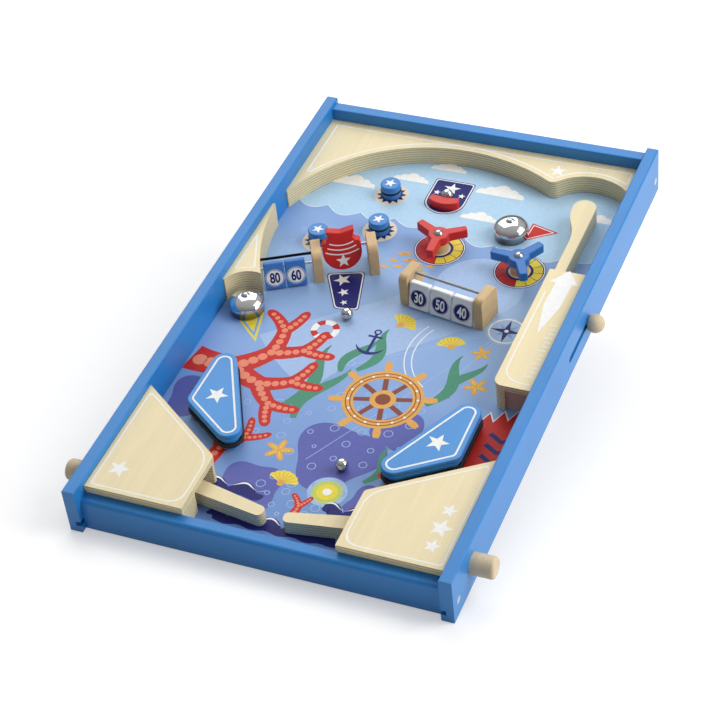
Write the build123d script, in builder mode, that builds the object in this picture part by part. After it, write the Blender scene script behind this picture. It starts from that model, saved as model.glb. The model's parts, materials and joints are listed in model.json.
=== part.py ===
from build123d import *
import os
from math import atan, cos, degrees, pi, radians, sin, tan

os.makedirs("parts", exist_ok=True)

# Sizes are in millimetres. The playfield is one tilted plane: x runs across the game,
# y runs uphill from the front ends of the side walls, and z stands square on the playfield.
# A place named as a spot is a share of the inside half width and of the length up to the
# back wall, so the layout spreads with the box while its pieces keep their sizes.

# Box
slope = 13.0
box_width = 360.0
box_length = 604.0
wall = 12.0
wall_height = 49.0
wall_below = 12.5
front_wall_height = 33.0
front_wall_setback = 6.3
front_wall_round = 4.0
back_wall_height = 45.5
back_wall_setback = 4.0
wall_round = 1.5
panel = 5.0
groove_depth = 5.0
groove_play = 0.1
seat_play = 0.3

# Corner screws of the box
screw_radius = 1.75
screw_head_radius = 3.6
countersink_angle = 90.0
screw_length = 34.0
screw_height = 4.0

# Rear stand
batten_depth = 24.0
batten_from_back = 56.0
leg_width = 34.0
leg_depth = 16.0
leg_place = 66.0

# Plywood guides: depths are measured from the back wall, insets from the side walls
guide_height = 20.0
guide_round = 9.0
crown_share = -0.0833
crown_depth = 15.2
arch_foot_depth = 127.0
arch_foot_width = 1.5
cusp_inset = 80.0
cusp_depth = 44.5
lane_crown_inset = 41.0
lane_crown_depth = 23.2
lane_foot_depth = 43.0
side_guide_height = 27.5
side_guide_gap = 30.0
side_guide_tip = 2.5
side_guide_hollow = 6.0
side_guide_corner_angle = 75.0
side_guide_foot_angle = 165.0
bell_inset = 26.0
bell_gap = 7.6

# Launch lane
lane_width = 26.0
rail_width = 10.5
rail_end_depth = 60.7
rail_head_radius = 11.7
rail_curve_length = 54.0
launch_share = 0.409
launch_length = 166.0
launch_overhang = 7.5
launch_round = 8.0
end_block_setback = 2.5
end_block_depth = 15.0
plunger_place = 127.2
plunger_length = 28.0
plunger_travel = 54.0
striker_radius = 6.0
striker_length = 20.0
stem_radius = 3.0
stem_grip = 14.0
guide_rod_seat = 10.0
stem_height = 7.5
slot_play = 0.4
knob_radius = 9.1
knob_gap = 1.0
knob_base = 6.0
rod_height = 16.5
launch_rod_radius = 2.5
launch_rod_reach = 8.0
launch_coil_radius = 4.9
launch_coil_wire = 1.2
launch_coil_turns = 10
coil_gap = 0.2

# Flipper covers: insets run inwards from the side walls, and the pair is shifted a little
play_centre = -1.5
cover_top = 30.0
cover_thickness = 6.0
cover_inset = 96.5
cover_rear_y = 151.0
cover_front_y = 17.0
cover_corner_y = 83.5
cover_round = 5.0
spacer_width = 10.0
spacer_end_depth = 25.0
spacer_end_length = 16.0
spacer_front_depth = 13.0
cover_lip = 0.8

# Flippers
pivot_inset = 72.5
pivot_y = 62.5
pivot_radius = 3.0
pivot_seat = 3.0
flipper_gap = 1.0
flipper_thickness = 14.0
flipper_tip_gap = 8.0
flipper_width = 17.0
flipper_tip_width = 11.5
flipper_tip_round = 5.0
flipper_hub_radius = 9.0
flipper_rest = 10.5
flipper_swing = 28.0
heel_arm = 15.5
heel_radius = 5.0
heel_neck = 6.0

# Flipper buttons
button_radius = 10.0
button_reach = 21.5
button_head_inside = 5.0
button_end_round = 3.0
button_height = 12.0
button_stem_radius = 5.0
button_pin_radius = 1.5
button_pin_length = 25.0
button_guide_thickness = 10.0
button_guide_inset = 41.0
button_guide_width = 22.0
button_coil_radius = 6.7
button_coil_wire = 1.2
button_coil_turns = 6
running_play = 0.1
touch_gap = 0.3

# Slingshot blocks: inset from the side wall, place and radius of each corner
sling_height = 20.0
sling_plate = 7.0
sling_groove = 0.8
sling_inset = 3.0
sling_apex = (48.0, 208.6, 12.0)
sling_side = (46.0, 157.5, 10.5)
sling_foot = (88.0, 129.8, 12.0)
band_radius = 2.0
band_round = 1.8
band_height = 6.5
sling_edge_round = 1.0
band_play = 0.02

# Swinging target gates: place of the first post's corner and turn of the row
post_height = 34.0
post_depth = 30.0
post_round = 6.5
post_edge = 0.8
blue_gate_from_bell = (48.2, 54.1)
blue_gate_turn = 28.0
blue_post = 10.0
fish_bay = 44.6
blue_flap_width = 20.0
blue_flap_gap = 0.7
blue_flap_thickness = 6.0
blue_flap_start = 7.2
white_gate_spot = (-0.0179, 0.599)
white_gate_turn = -9.9
white_flaps = 3
white_post = 9.5
white_flap_width = 22.0
white_flap_gap = 1.5
white_flap_thickness = 7.0
flap_above = 6.0
flap_below = 22.3
flap_round = 1.6
axle_depth = 5.0
axle_height = 23.0
axle_radius = 1.25
axle_play = 0.1
axle_seat = 6.0
stop_depth = 17.0
blue_stop_height = 25.0
white_stop_height = 29.0
stop_radius = 1.4
guide_reach = 57.0

# Hanging fish-shaped spinner
fish_body_radius = 19.0
fish_body_drop = 4.0
fish_shoulder = 8.0
fish_shoulder_round = 4.0
fish_above = 20.0
fish_thickness = 11.0
fish_tail_width = 29.0
fish_waist = 20.0
fish_notch = 3.0
fish_round = 1.2
fish_shift = 2.0
fish_axle_depth = 15.0
fish_axle_height = 29.5
fish_axle_radius = 1.5

# Three-arm spinners: place and turn of each
red_spinner_spot = (0.031, 0.7474)
red_spinner_turn = 32.0
blue_spinner_spot = (0.5464, 0.7284)
blue_spinner_turn = 58.0
spinner_hub_radius = 9.0
spinner_hub_height = 11.0
spinner_thickness = 9.0
spinner_disc_radius = 10.3
spinner_reach = 28.5
spinner_arm_root = 10.5
spinner_arm_tip = 8.0
spinner_arms = 3
spinner_round = 1.2
spinner_corner = 2.0
dome_radius = 4.6
dome_height = 2.6
dome_shank_radius = 2.0

# Bells
left_bell_share = 0.5145
right_bell_spot = (0.3946, 0.8129)
bell_radius = 17.6
bell_skirt = 8.7
bell_height = 18.5
bell_lift = 0.5
bell_sheet = 1.0
bell_post_radius = 4.0

# Peg posts
peg_spots = ((-0.431, 0.8636), (-0.3738, 0.7656), (-0.6863, 0.7129))
peg_foot_radius = 9.6
peg_neck_radius = 7.5
peg_cap_radius = 10.2
peg_height = 15.0
peg_ring_radius = 1.6
peg_ring_height = 6.9
peg_cap_round = 1.2

# Ball cup and balls
cup_spot = (-0.0851, 0.8614)
cup_width = 31.5
cup_height = 8.2
cup_front = 8.8
cup_end = 3.5
cup_horn = 4.8
cup_horn_inset = 1.0
cup_back = 2.7
cup_round = 0.8
cup_corner = 1.5
ball_radius = 6.0
ball_lift = 0.2
ball_spots = ((-0.2589, 0.5391), (0.1714, 0.2168))

# Derived places
half_width = box_width / 2
half_inside = half_width - wall
inside_front = front_wall_setback + wall
inside_back = box_length - back_wall_setback - wall
wall_top = wall_height - wall_below
slope_sin = sin(radians(slope))
slope_cos = cos(radians(slope))
front_screw_y = front_wall_setback + wall / 2
back_screw_y = box_length - back_wall_setback - wall / 2
screw_head_depth = (screw_head_radius - screw_radius) / tan(radians(countersink_angle / 2))
cover_bottom = cover_top - cover_thickness
crown = (crown_share * half_inside, inside_back - crown_depth)
arch_foot_y = inside_back - arch_foot_depth
cusp = (half_inside - cusp_inset, inside_back - cusp_depth)
lane_crown = (half_inside - lane_crown_inset, inside_back - lane_crown_depth)
lane_foot_y = inside_back - lane_foot_depth
rail_right = half_inside - lane_width
rail_left = rail_right - rail_width
lane_middle = half_inside - lane_width / 2
launch_front_y = launch_share * inside_back
launch_rear_y = launch_front_y + launch_length
spacer_rear_y = launch_rear_y - launch_overhang
end_block_rear_y = launch_front_y + end_block_setback + end_block_depth
plunger_y = launch_front_y + plunger_place
plunger_front_y = plunger_y - plunger_length / 2
plunger_rear_y = plunger_y + plunger_length / 2
cover_inner = half_inside - cover_inset
pivot_x = half_inside - pivot_inset
flipper_length = pivot_x - flipper_tip_gap
heel_half_swing = flipper_swing / 2
button_y = pivot_y - heel_arm * cos(radians(heel_half_swing / 2))
quarter_turn = degrees(pi / 2)
bell_clearance = bell_radius + bell_gap
bell_x = bell_inset - half_inside
bell_y = left_bell_share * inside_back
side_guide_tip_y = arch_foot_y - side_guide_gap
blue_gate = (bell_x + blue_gate_from_bell[0], bell_y + blue_gate_from_bell[1], blue_gate_turn)

# The front lower edge of the side walls stands on the ground, and the box is centred on it.
front_reach = wall_top * slope_sin
rear_reach = box_length * slope_cos + wall_below * slope_sin
field = Plane(
    origin=(0, (front_reach - rear_reach) / 2, wall_below * slope_cos),
    x_dir=(1, 0, 0),
    z_dir=(0, -slope_sin, slope_cos),
)
along = Axis(field.origin, field.y_dir)
upright = Axis(field.origin, field.z_dir)


def spot(share):
    """A place on the playfield, from its shares of the half width and of the length."""
    return share[0] * half_inside, share[1] * inside_back


def on_field(x, y, z=0.0, turn=0.0, lean=0.0):
    """A workplane on the playfield, turned about its normal and leaned back at the top."""
    placed = field.location * Location((x, y, z), (0, 0, turn))
    return Plane(placed * Location((0, 0, 0), (-lean, 0, 0)))


def upright_section(x, y, turn=0.0):
    """A workplane whose y axis is the playfield's normal, for turned profiles."""
    base = on_field(x, y, 0, turn)
    return Plane(origin=base.origin, x_dir=base.x_dir, z_dir=-base.y_dir)


def across(x, y, z, side=1):
    """A workplane that looks across the game, out through the wall on one side."""
    base = on_field(x, y, z)
    return Plane(origin=base.origin, x_dir=base.y_dir, z_dir=base.x_dir * side)


def lengthwise(x, y, z):
    """A workplane that looks uphill along the playfield."""
    base = on_field(x, y, z)
    return Plane(origin=base.origin, x_dir=base.x_dir, z_dir=base.y_dir)


def along_gate(gate, place, depth, height):
    """A workplane that looks along a gate's row, at a place in the row's own coordinates."""
    base = on_field(gate[0], gate[1], 0, gate[2])
    origin = base.from_local_coords((place, depth, height))
    return Plane(origin=origin, x_dir=base.y_dir, z_dir=base.x_dir)


def hanging_lean(gate):
    """How far a piece that hangs in a gate leans back from the playfield's normal."""
    return degrees(atan(tan(radians(slope)) * cos(radians(gate[2]))))


def dome_screws(places, bottom, seat):
    """Round-headed screws standing square on the playfield."""
    top = seat + dome_height
    with BuildPart() as screws:
        for x, y in places:
            section = upright_section(x, y)
            with BuildSketch(section):
                with BuildLine():
                    Polyline(
                        (0, top),
                        (0, bottom),
                        (dome_shank_radius, bottom),
                        (dome_shank_radius, seat),
                        (dome_radius, seat),
                    )
                    TangentArc((0, top), (dome_radius, seat), tangent=(1, 0))
                make_face()
            revolve(axis=Axis(section.origin, section.y_dir))
    return screws.part


def save(part, name):
    """Label a finished piece and write it."""
    part.label = name
    export_step(part, f"parts/{name}.step")


def outer_edges(part, axis):
    """The edges of a part that run along one of the playfield's axes."""
    return part.edges().filter_by(axis)


def biarc(start, start_way, end, end_way):
    """Two tangent arcs from one point and direction to another."""
    span = end - start
    total = start_way + end_way
    bend = 2 * (1 - start_way.dot(end_way))
    lean = span.dot(total)
    reach = (-lean + (lean * lean + bend * span.dot(span)) ** 0.5) / bend
    joint = (start + end + (start_way - end_way) * reach) * 0.5
    joint_way = (end - end_way * reach - start - start_way * reach).normalized()
    TangentArc(start, joint, tangent=start_way)
    TangentArc(joint, end, tangent=joint_way)


def coil(base, radius, length, turns, wire):
    """A helical spring along the workplane's normal, as one swept wire of half-turn biarcs."""
    rise = length - wire
    pitch = rise / turns
    climb = pitch / (2 * pi)

    def point(angle):
        lift = wire / 2 + climb * angle
        return base.from_local_coords(Vector(radius * cos(angle), radius * sin(angle), lift))

    def way(angle):
        slant = Vector(-radius * sin(angle), radius * cos(angle), climb).normalized()
        return (base.from_local_coords(slant) - base.origin).normalized()

    with BuildPart() as spring:
        with BuildLine() as wire_path:
            for step in range(2 * turns):
                biarc(point(step * pi), way(step * pi), point((step + 1) * pi), way((step + 1) * pi))
        with BuildSketch(Plane(origin=point(0), z_dir=way(0))):
            Circle(wire / 2)
        sweep(path=wire_path.wire())
    print(f"coil of {turns} turns: gap between turns {pitch - wire:.2f} mm")
    return spring.part


# Places of the pieces that stand free on the playfield
white_gate = (*spot(white_gate_spot), white_gate_turn)
bell_places = ((bell_x, bell_y), spot(right_bell_spot))
spinner_places = (spot(red_spinner_spot), spot(blue_spinner_spot))
peg_places = [spot(share) for share in peg_spots]


# Side walls: grooved for the playfield, drilled for the buttons, screws and launcher stem
def side_wall(side):
    """One side wall, with the groove that holds the playfield's edge."""
    middle = side * (half_width - wall / 2)
    with BuildPart() as piece:
        with BuildSketch(field.offset(-wall_below)):
            with Locations((middle, box_length / 2)):
                Rectangle(wall, box_length)
        extrude(amount=wall_height)
        fillet(outer_edges(piece, along).group_by(upright)[-1], wall_round)
        with BuildSketch(field.offset(-panel - groove_play)):
            with Locations((side * (half_inside + groove_depth / 2), box_length / 2)):
                Rectangle(groove_depth, box_length)
        extrude(amount=panel + 2 * groove_play, mode=Mode.SUBTRACT)
        with BuildSketch(across(side * half_inside, button_y, button_height, side)):
            Circle(button_radius + running_play)
        extrude(amount=wall, mode=Mode.SUBTRACT)
        for y in (front_screw_y, back_screw_y):
            with Locations(across(side * half_width, y, screw_height, side)):
                CounterSinkHole(screw_radius, screw_head_radius, wall, countersink_angle)
        if side > 0:
            with BuildSketch(across(half_inside, plunger_y - plunger_travel / 2, stem_height)):
                SlotCenterToCenter(plunger_travel, 2 * (stem_radius + slot_play))
            extrude(amount=wall, mode=Mode.SUBTRACT)
    return piece.part


save(side_wall(-1), "left_side_wall")
save(side_wall(1), "right_side_wall")


# Front and back walls, between the side walls
def end_wall(front_face, height, groove_side, rounding):
    """A wall across one end of the box, with a rounded top edge."""
    groove_middle = front_face + (wall - groove_depth if groove_side > 0 else 0) + groove_depth / 2
    with BuildPart() as piece:
        with BuildSketch(field.offset(-wall_below)):
            with Locations((0, front_face + wall / 2)):
                Rectangle(2 * half_inside, wall)
        extrude(amount=height)
        top = piece.faces().sort_by(upright)[-1]
        fillet(top.edges().sort_by(along)[0], rounding)
        with BuildSketch(field.offset(-panel - groove_play)):
            with Locations((0, groove_middle)):
                Rectangle(2 * half_inside, groove_depth)
        extrude(amount=panel + 2 * groove_play, mode=Mode.SUBTRACT)
        for side in (-1, 1):
            with Locations(across(side * half_inside, front_face + wall / 2, screw_height, side)):
                Hole(screw_radius, depth=screw_length - wall)
    return piece.part


save(end_wall(front_wall_setback, front_wall_height, 1, front_wall_round), "front_wall")
save(end_wall(inside_back, back_wall_height, -1, wall_round), "back_wall")

# Playfield panel, held in the grooves of all four walls
with BuildPart() as playfield:
    with BuildSketch(field.offset(-panel)):
        with Locations((0, (inside_front + inside_back) / 2)):
            Rectangle(
                2 * (half_inside + groove_depth - seat_play),
                inside_back - inside_front + 2 * (groove_depth - seat_play),
            )
        for side in (-1, 1):
            with Locations((play_centre + side * pivot_x, pivot_y)):
                Circle(pivot_radius, mode=Mode.SUBTRACT)
        with Locations(*spinner_places):
            Circle(dome_shank_radius, mode=Mode.SUBTRACT)
    extrude(amount=panel)
save(playfield.part, "playfield")

# Countersunk screws through the side walls into the end walls
with BuildPart() as frame_screws:
    for side in (-1, 1):
        for y in (front_screw_y, back_screw_y):
            with BuildSketch(across(side * half_width, y, screw_height, side)):
                Circle(screw_head_radius)
            extrude(amount=-screw_head_depth, taper=countersink_angle / 2)
            with BuildSketch(across(side * half_width, y, screw_height, side)):
                Circle(screw_radius)
            extrude(amount=-screw_length)
save(frame_screws.part, "frame_screws")

# Rear stand: a batten under the panel and two legs with feet cut level
batten_place = inside_back - batten_from_back
with BuildPart() as stand_batten:
    with BuildSketch(field.offset(-wall_below)):
        with Locations((0, batten_place)):
            Rectangle(2 * (half_inside - seat_play), batten_depth)
    extrude(amount=wall_below - panel)
save(stand_batten.part, "stand_batten")

leg_drop = (box_length + wall_below) * tan(radians(slope)) + wall_below
with BuildPart() as rear_legs:
    with BuildSketch(field.offset(-wall_below)):
        with Locations((-leg_place, batten_place), (leg_place, batten_place)):
            RectangleRounded(leg_width, leg_depth, wall_round)
    extrude(amount=-leg_drop)
    split(bisect_by=Plane.XY, keep=Keep.TOP)
save(rear_legs.part, "rear_legs")

# Plywood guide across the top, with the main arch and the launch lane's arch
with BuildPart() as top_guide:
    with BuildSketch(field):
        with BuildLine():
            TangentArc(crown, (arch_foot_width - half_inside, arch_foot_y), tangent=(-1, 0))
            TangentArc(crown, cusp, tangent=(1, 0))
            TangentArc(lane_crown, cusp, tangent=(-1, 0))
            TangentArc(lane_crown, (half_inside, lane_foot_y), tangent=(1, 0))
            Polyline(
                (half_inside, lane_foot_y),
                (half_inside, inside_back),
                (-half_inside, inside_back),
                (-half_inside, arch_foot_y),
                (arch_foot_width - half_inside, arch_foot_y),
            )
        plan = make_face()
        fillet(plan.vertices().sort_by_distance((*cusp, 0))[0], guide_round)
    extrude(amount=guide_height)
save(top_guide.part, "top_guide")

# Plywood guide on the left wall, hollowed round the bell
def round_bell(angle):
    """A point on the clearance circle round the left bell."""
    return (
        bell_x + bell_clearance * cos(radians(angle)),
        bell_y + bell_clearance * sin(radians(angle)),
    )


side_corner = round_bell(side_guide_corner_angle)
side_foot = round_bell(side_guide_foot_angle)
side_tip = (side_guide_tip - half_inside, side_guide_tip_y)
with BuildPart() as left_guide:
    with BuildSketch(field):
        with BuildLine():
            SagittaArc(side_tip, side_corner, -side_guide_hollow)
            CenterArc(
                (bell_x, bell_y),
                bell_clearance,
                side_guide_corner_angle,
                side_guide_foot_angle - side_guide_corner_angle,
            )
            Polyline(side_foot, (-half_inside, side_foot[1]), (-half_inside, side_guide_tip_y), side_tip)
        make_face()
    extrude(amount=side_guide_height)
    with Locations(along_gate(blue_gate, 0, axle_depth, axle_height)):
        Hole(axle_radius, depth=guide_reach)
    with Locations(along_gate(blue_gate, 0, stop_depth, blue_stop_height)):
        Hole(stop_radius, depth=guide_reach)
save(left_guide.part, "left_guide")

# Lane rail with a round head
head_y = inside_back - rail_end_depth - rail_head_radius
head_left = (rail_right - 2 * rail_head_radius, head_y)
neck = (rail_left, head_y - rail_curve_length)
bend = ((head_left[0] + neck[0]) / 2, (head_left[1] + neck[1]) / 2)
with BuildPart() as lane_rail:
    with BuildSketch(field):
        with BuildLine():
            CenterArc((rail_right - rail_head_radius, head_y), rail_head_radius, 0, 180)
            TangentArc(head_left, bend, tangent=(0, -1))
            TangentArc(neck, bend, tangent=(0, 1))
            Polyline(neck, (rail_left, spacer_rear_y), (rail_right, spacer_rear_y), (rail_right, head_y))
        make_face()
    extrude(amount=guide_height)
save(lane_rail.part, "lane_rail")

# Launcher housing: spacer wall, cover plate and the block that closes its front
with BuildPart() as launch_spacer:
    with BuildSketch(field) as spacer_plan:
        with Locations(((rail_left + rail_right) / 2, (launch_front_y + spacer_rear_y) / 2)):
            Rectangle(rail_width, spacer_rear_y - launch_front_y)
        fillet(spacer_plan.vertices().sort_by(along)[:2].sort_by(Axis.X)[0], launch_round)
    extrude(amount=cover_bottom)
save(launch_spacer.part, "launch_spacer")

cover_left = rail_left - cover_lip
cover_right = half_inside - seat_play
with BuildPart() as launch_cover:
    with BuildSketch(field.offset(cover_bottom)) as cover_plan:
        with Locations(((cover_left + cover_right) / 2, (launch_front_y + launch_rear_y) / 2)):
            Rectangle(cover_right - cover_left, launch_rear_y - launch_front_y)
        fillet(cover_plan.vertices().sort_by(along)[:2].sort_by(Axis.X)[0], launch_round + cover_lip)
    extrude(amount=cover_thickness)
save(launch_cover.part, "launch_cover")

with BuildPart() as launch_end_block:
    with BuildSketch(field):
        with Locations(((rail_right + cover_right) / 2, end_block_rear_y - end_block_depth / 2)):
            Rectangle(cover_right - rail_right, end_block_depth)
    extrude(amount=cover_bottom)
    with Locations(lengthwise(lane_middle, end_block_rear_y, rod_height)):
        Hole(launch_rod_radius, depth=guide_rod_seat)
save(launch_end_block.part, "launch_end_block")

# Launcher: plunger block with its striker, on a guide rod and pushed by a spring
with BuildPart() as launch_plunger:
    with BuildSketch(field.offset(touch_gap)):
        with Locations((lane_middle, plunger_y)):
            Rectangle(lane_width - 2 * touch_gap, plunger_length)
    extrude(amount=cover_bottom - 2 * touch_gap)
    with BuildSketch(lengthwise(lane_middle, plunger_rear_y, stem_height)):
        Circle(striker_radius)
    extrude(amount=striker_length)
    with Locations(lengthwise(lane_middle, plunger_rear_y, rod_height)):
        Hole(launch_rod_radius + running_play, depth=plunger_length)
    with Locations(across(half_inside - touch_gap, plunger_y, stem_height)):
        Hole(stem_radius, depth=stem_grip)
save(launch_plunger.part, "launch_plunger")

knob_face = half_width + knob_gap
knob_middle = knob_face + knob_base
stem_start = half_inside - touch_gap - stem_grip
with BuildPart() as launch_stem:
    with BuildSketch(across(stem_start, plunger_y, stem_height)):
        Circle(stem_radius)
    extrude(amount=knob_middle - stem_start)
save(launch_stem.part, "launch_stem")

with BuildPart() as launch_knob:
    with Locations(across(knob_middle, plunger_y, stem_height)):
        Sphere(knob_radius)
    with Locations(across(knob_face, plunger_y, stem_height)):
        Hole(stem_radius, depth=knob_base)
    split(bisect_by=across(knob_face, plunger_y, stem_height), keep=Keep.TOP)
save(launch_knob.part, "launch_knob")

guide_rod_start = end_block_rear_y - guide_rod_seat
with BuildPart() as launch_guide_rod:
    with BuildSketch(lengthwise(lane_middle, guide_rod_start, rod_height)):
        Circle(launch_rod_radius)
    extrude(amount=plunger_rear_y + launch_rod_reach - guide_rod_start)
save(launch_guide_rod.part, "launch_guide_rod")

launch_coil = coil(
    lengthwise(lane_middle, end_block_rear_y + coil_gap, rod_height),
    launch_coil_radius,
    plunger_front_y - end_block_rear_y - 2 * coil_gap,
    launch_coil_turns,
    launch_coil_wire,
)
save(launch_coil, "launch_spring")


# Flipper covers and the spacer walls under them
def flipper_cover(side):
    """One cover plate, with a blind seat for the flipper pin."""
    inner = play_centre + side * cover_inner
    outer = side * (half_inside - seat_play)
    with BuildPart() as piece:
        with BuildSketch(field.offset(cover_bottom)):
            plan = Polygon(
                (inner, cover_front_y),
                (outer, cover_front_y),
                (outer, cover_rear_y),
                (inner, cover_corner_y),
                align=None,
            )
            fillet(plan.vertices().sort_by_distance((inner, cover_corner_y, 0))[0], cover_round)
        extrude(amount=cover_thickness)
        with Locations(on_field(play_centre + side * pivot_x, pivot_y, cover_bottom)):
            Hole(pivot_radius, depth=pivot_seat)
    return piece.part


def cover_spacers(side):
    """The wall along the front and the slanted wall that stops the raised flipper."""
    inner = play_centre + side * (cover_inner + cover_lip)
    outer = side * (half_inside - seat_play)
    step = inner + side * spacer_end_length
    span = abs(outer - inner)
    rise = cover_rear_y - cover_corner_y
    drop = spacer_width * (span**2 + rise**2) ** 0.5 / span
    top_inner = cover_corner_y - cover_lip
    top_outer = cover_rear_y - cover_lip
    raised = radians(flipper_swing - flipper_rest)
    reach = pivot_x - cover_inner - cover_lip
    stop = pivot_y + reach * tan(raised) + (flipper_width / 2 + touch_gap) / cos(raised)
    meet = (top_inner - drop - stop) / (-tan(raised) - rise / span)
    with BuildPart() as pieces:
        with BuildSketch(field):
            Polygon(
                (inner, inside_front),
                (outer, inside_front),
                (outer, inside_front + spacer_front_depth),
                (step, inside_front + spacer_front_depth),
                (step, inside_front + spacer_end_depth),
                (inner, inside_front + spacer_end_depth),
                align=None,
            )
            Polygon(
                (inner, top_inner),
                (outer, top_outer),
                (outer, top_outer - drop),
                (inner + side * meet, stop - meet * tan(raised)),
                (inner, stop),
                align=None,
            )
        extrude(amount=cover_bottom)
    return pieces.part


save(flipper_cover(-1), "left_flipper_cover")
save(flipper_cover(1), "right_flipper_cover")
save(cover_spacers(-1), "left_cover_spacers")
save(cover_spacers(1), "right_cover_spacers")


# Flippers: blade, hub and the heel that the button pushes
def flipper(side):
    """One flipper at rest, with its tip towards the front."""
    turn = -flipper_rest if side < 0 else 180 + flipper_rest
    heel_turn = side * (90 + heel_half_swing - flipper_rest)
    base = on_field(play_centre + side * pivot_x, pivot_y, flipper_gap, turn)
    heel = (heel_arm * cos(radians(heel_turn)), heel_arm * sin(radians(heel_turn)))
    with BuildPart() as piece:
        with BuildSketch(base):
            blade = Polygon(
                (0, -flipper_width / 2),
                (flipper_length, -flipper_tip_width / 2),
                (flipper_length, flipper_tip_width / 2),
                (0, flipper_width / 2),
                align=None,
            )
            fillet(blade.vertices().sort_by(Axis.X)[-2:], flipper_tip_round)
            Circle(flipper_hub_radius)
            with Locations(heel):
                Circle(heel_radius)
            with Locations((heel[0] / 2, heel[1] / 2)):
                SlotCenterToCenter(heel_arm, heel_neck, rotation=heel_turn)
            Circle(pivot_radius + running_play, mode=Mode.SUBTRACT)
        extrude(amount=flipper_thickness)
    return piece.part


save(flipper(-1), "left_flipper")
save(flipper(1), "right_flipper")

with BuildPart() as flipper_pins:
    for side in (-1, 1):
        with BuildSketch(on_field(play_centre + side * pivot_x, pivot_y, -panel)):
            Circle(pivot_radius)
        extrude(amount=panel + cover_bottom + pivot_seat)
save(flipper_pins.part, "flipper_pins")


# Buttons: a dowel head through the wall, a thinner stem to the heel, a cross pin and a spring
button_outer = half_width + button_reach
button_inner = half_inside - button_head_inside
button_pin_x = half_inside - touch_gap - button_pin_radius
button_guide_place = half_inside - button_guide_inset
button_guide_outer = button_guide_place + button_guide_thickness / 2


def button(side):
    """One button at rest, ending just short of the flipper's heel."""
    heel = pivot_x + heel_arm * sin(radians(heel_half_swing)) + heel_radius + touch_gap
    with BuildPart() as piece:
        with BuildSketch(across(side * button_outer, button_y, button_height, side)):
            Circle(button_radius)
        extrude(amount=button_inner - button_outer)
        fillet(piece.edges().sort_by(Axis.X)[0 if side < 0 else -1], button_end_round)
        with BuildSketch(across(side * button_inner, button_y, button_height, side)):
            Circle(button_stem_radius)
        extrude(amount=side * play_centre + heel - button_inner)
        with Locations(lengthwise(side * button_pin_x, button_y + button_pin_length / 2, button_height)):
            Hole(button_pin_radius, depth=button_pin_length)
    return piece.part


def button_pin(side):
    """The cross pin that keeps a button from falling out of its wall."""
    with BuildPart() as piece:
        with BuildSketch(lengthwise(side * button_pin_x, button_y - button_pin_length / 2, button_height)):
            Circle(button_pin_radius)
        extrude(amount=button_pin_length)
    return piece.part


def button_spring(side):
    """The return spring round a button's stem."""
    return coil(
        across(side * (button_guide_outer + coil_gap), button_y, button_height, side),
        button_coil_radius,
        button_inner - button_guide_outer - 2 * coil_gap,
        button_coil_turns,
        button_coil_wire,
    )


save(button(-1), "left_button")
save(button(1), "right_button")
save(button_pin(-1), "left_button_pin")
save(button_pin(1), "right_button_pin")
save(button_spring(-1), "left_button_spring")
save(button_spring(1), "right_button_spring")

with BuildPart() as button_guides:
    for side in (-1, 1):
        with BuildSketch(field):
            with Locations((side * button_guide_place, button_y)):
                Rectangle(button_guide_thickness, button_guide_width)
        extrude(amount=cover_bottom)
        with Locations(across(side * button_guide_outer, button_y, button_height, side)):
            Hole(button_stem_radius + running_play, depth=button_guide_thickness)
save(button_guides.part, "button_guides")


# Slingshot blocks: a core with a rubber band round it, and a wider top plate of two leaves
def sling_places(side, inset):
    """Centres and radii of the three corner circles, drawn in by an inset."""
    return [
        (play_centre + side * (half_inside - from_wall), y, radius - inset)
        for from_wall, y, radius in (sling_apex, sling_side, sling_foot)
    ]


def sling_blocks(layers, rounding):
    """Both blocks as stacked hulls of their corner circles, by the bottom, height and inset of each layer."""
    with BuildPart() as blocks:
        for bottom, height, inset in layers:
            for side in (-1, 1):
                with BuildSketch(field.offset(bottom)):
                    for x, y, radius in sling_places(side, inset):
                        with Locations((x, y)):
                            Circle(radius)
                    make_hull()
                extrude(amount=height)
        if rounding:
            fillet(blocks.edges().group_by(upright)[-1], rounding)
    return blocks.part


sling_core_height = sling_height - sling_plate
sling_leaf = (sling_plate - sling_groove) / 2
sling_top_layers = (
    (sling_core_height, sling_leaf, 0),
    (sling_core_height + sling_leaf, sling_groove, sling_groove),
    (sling_height - sling_leaf, sling_leaf, 0),
)
save(sling_blocks([(0, sling_core_height, sling_inset)], 0), "sling_cores")
save(sling_blocks(sling_top_layers, sling_edge_round), "sling_tops")

with BuildPart() as sling_bands:
    for side in (-1, 1):
        with BuildSketch(field.offset(band_height - band_radius), mode=Mode.PRIVATE) as inside:
            for x, y, radius in sling_places(side, sling_inset - band_play):
                with Locations((x, y)):
                    Circle(radius)
            make_hull()
        with BuildSketch(field.offset(band_height - band_radius)):
            for x, y, radius in sling_places(side, sling_inset - band_play - 2 * band_radius):
                with Locations((x, y)):
                    Circle(radius)
            make_hull()
            add(inside.sketch_local, mode=Mode.SUBTRACT)
        extrude(amount=2 * band_radius)
    fillet(sling_bands.edges().group_by(upright)[-1], band_round)
    fillet(sling_bands.edges().group_by(upright)[0], band_round)
save(sling_bands.part, "sling_bands")

# Swinging gates: posts, axles and stop rods
blue_post_far = blue_post + fish_bay
white_bay = white_flaps * white_flap_width + (white_flaps + 1) * white_flap_gap
white_post_far = white_post + white_bay
fish_middle = blue_post + fish_bay / 2
white_middle = white_post + white_bay / 2


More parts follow.
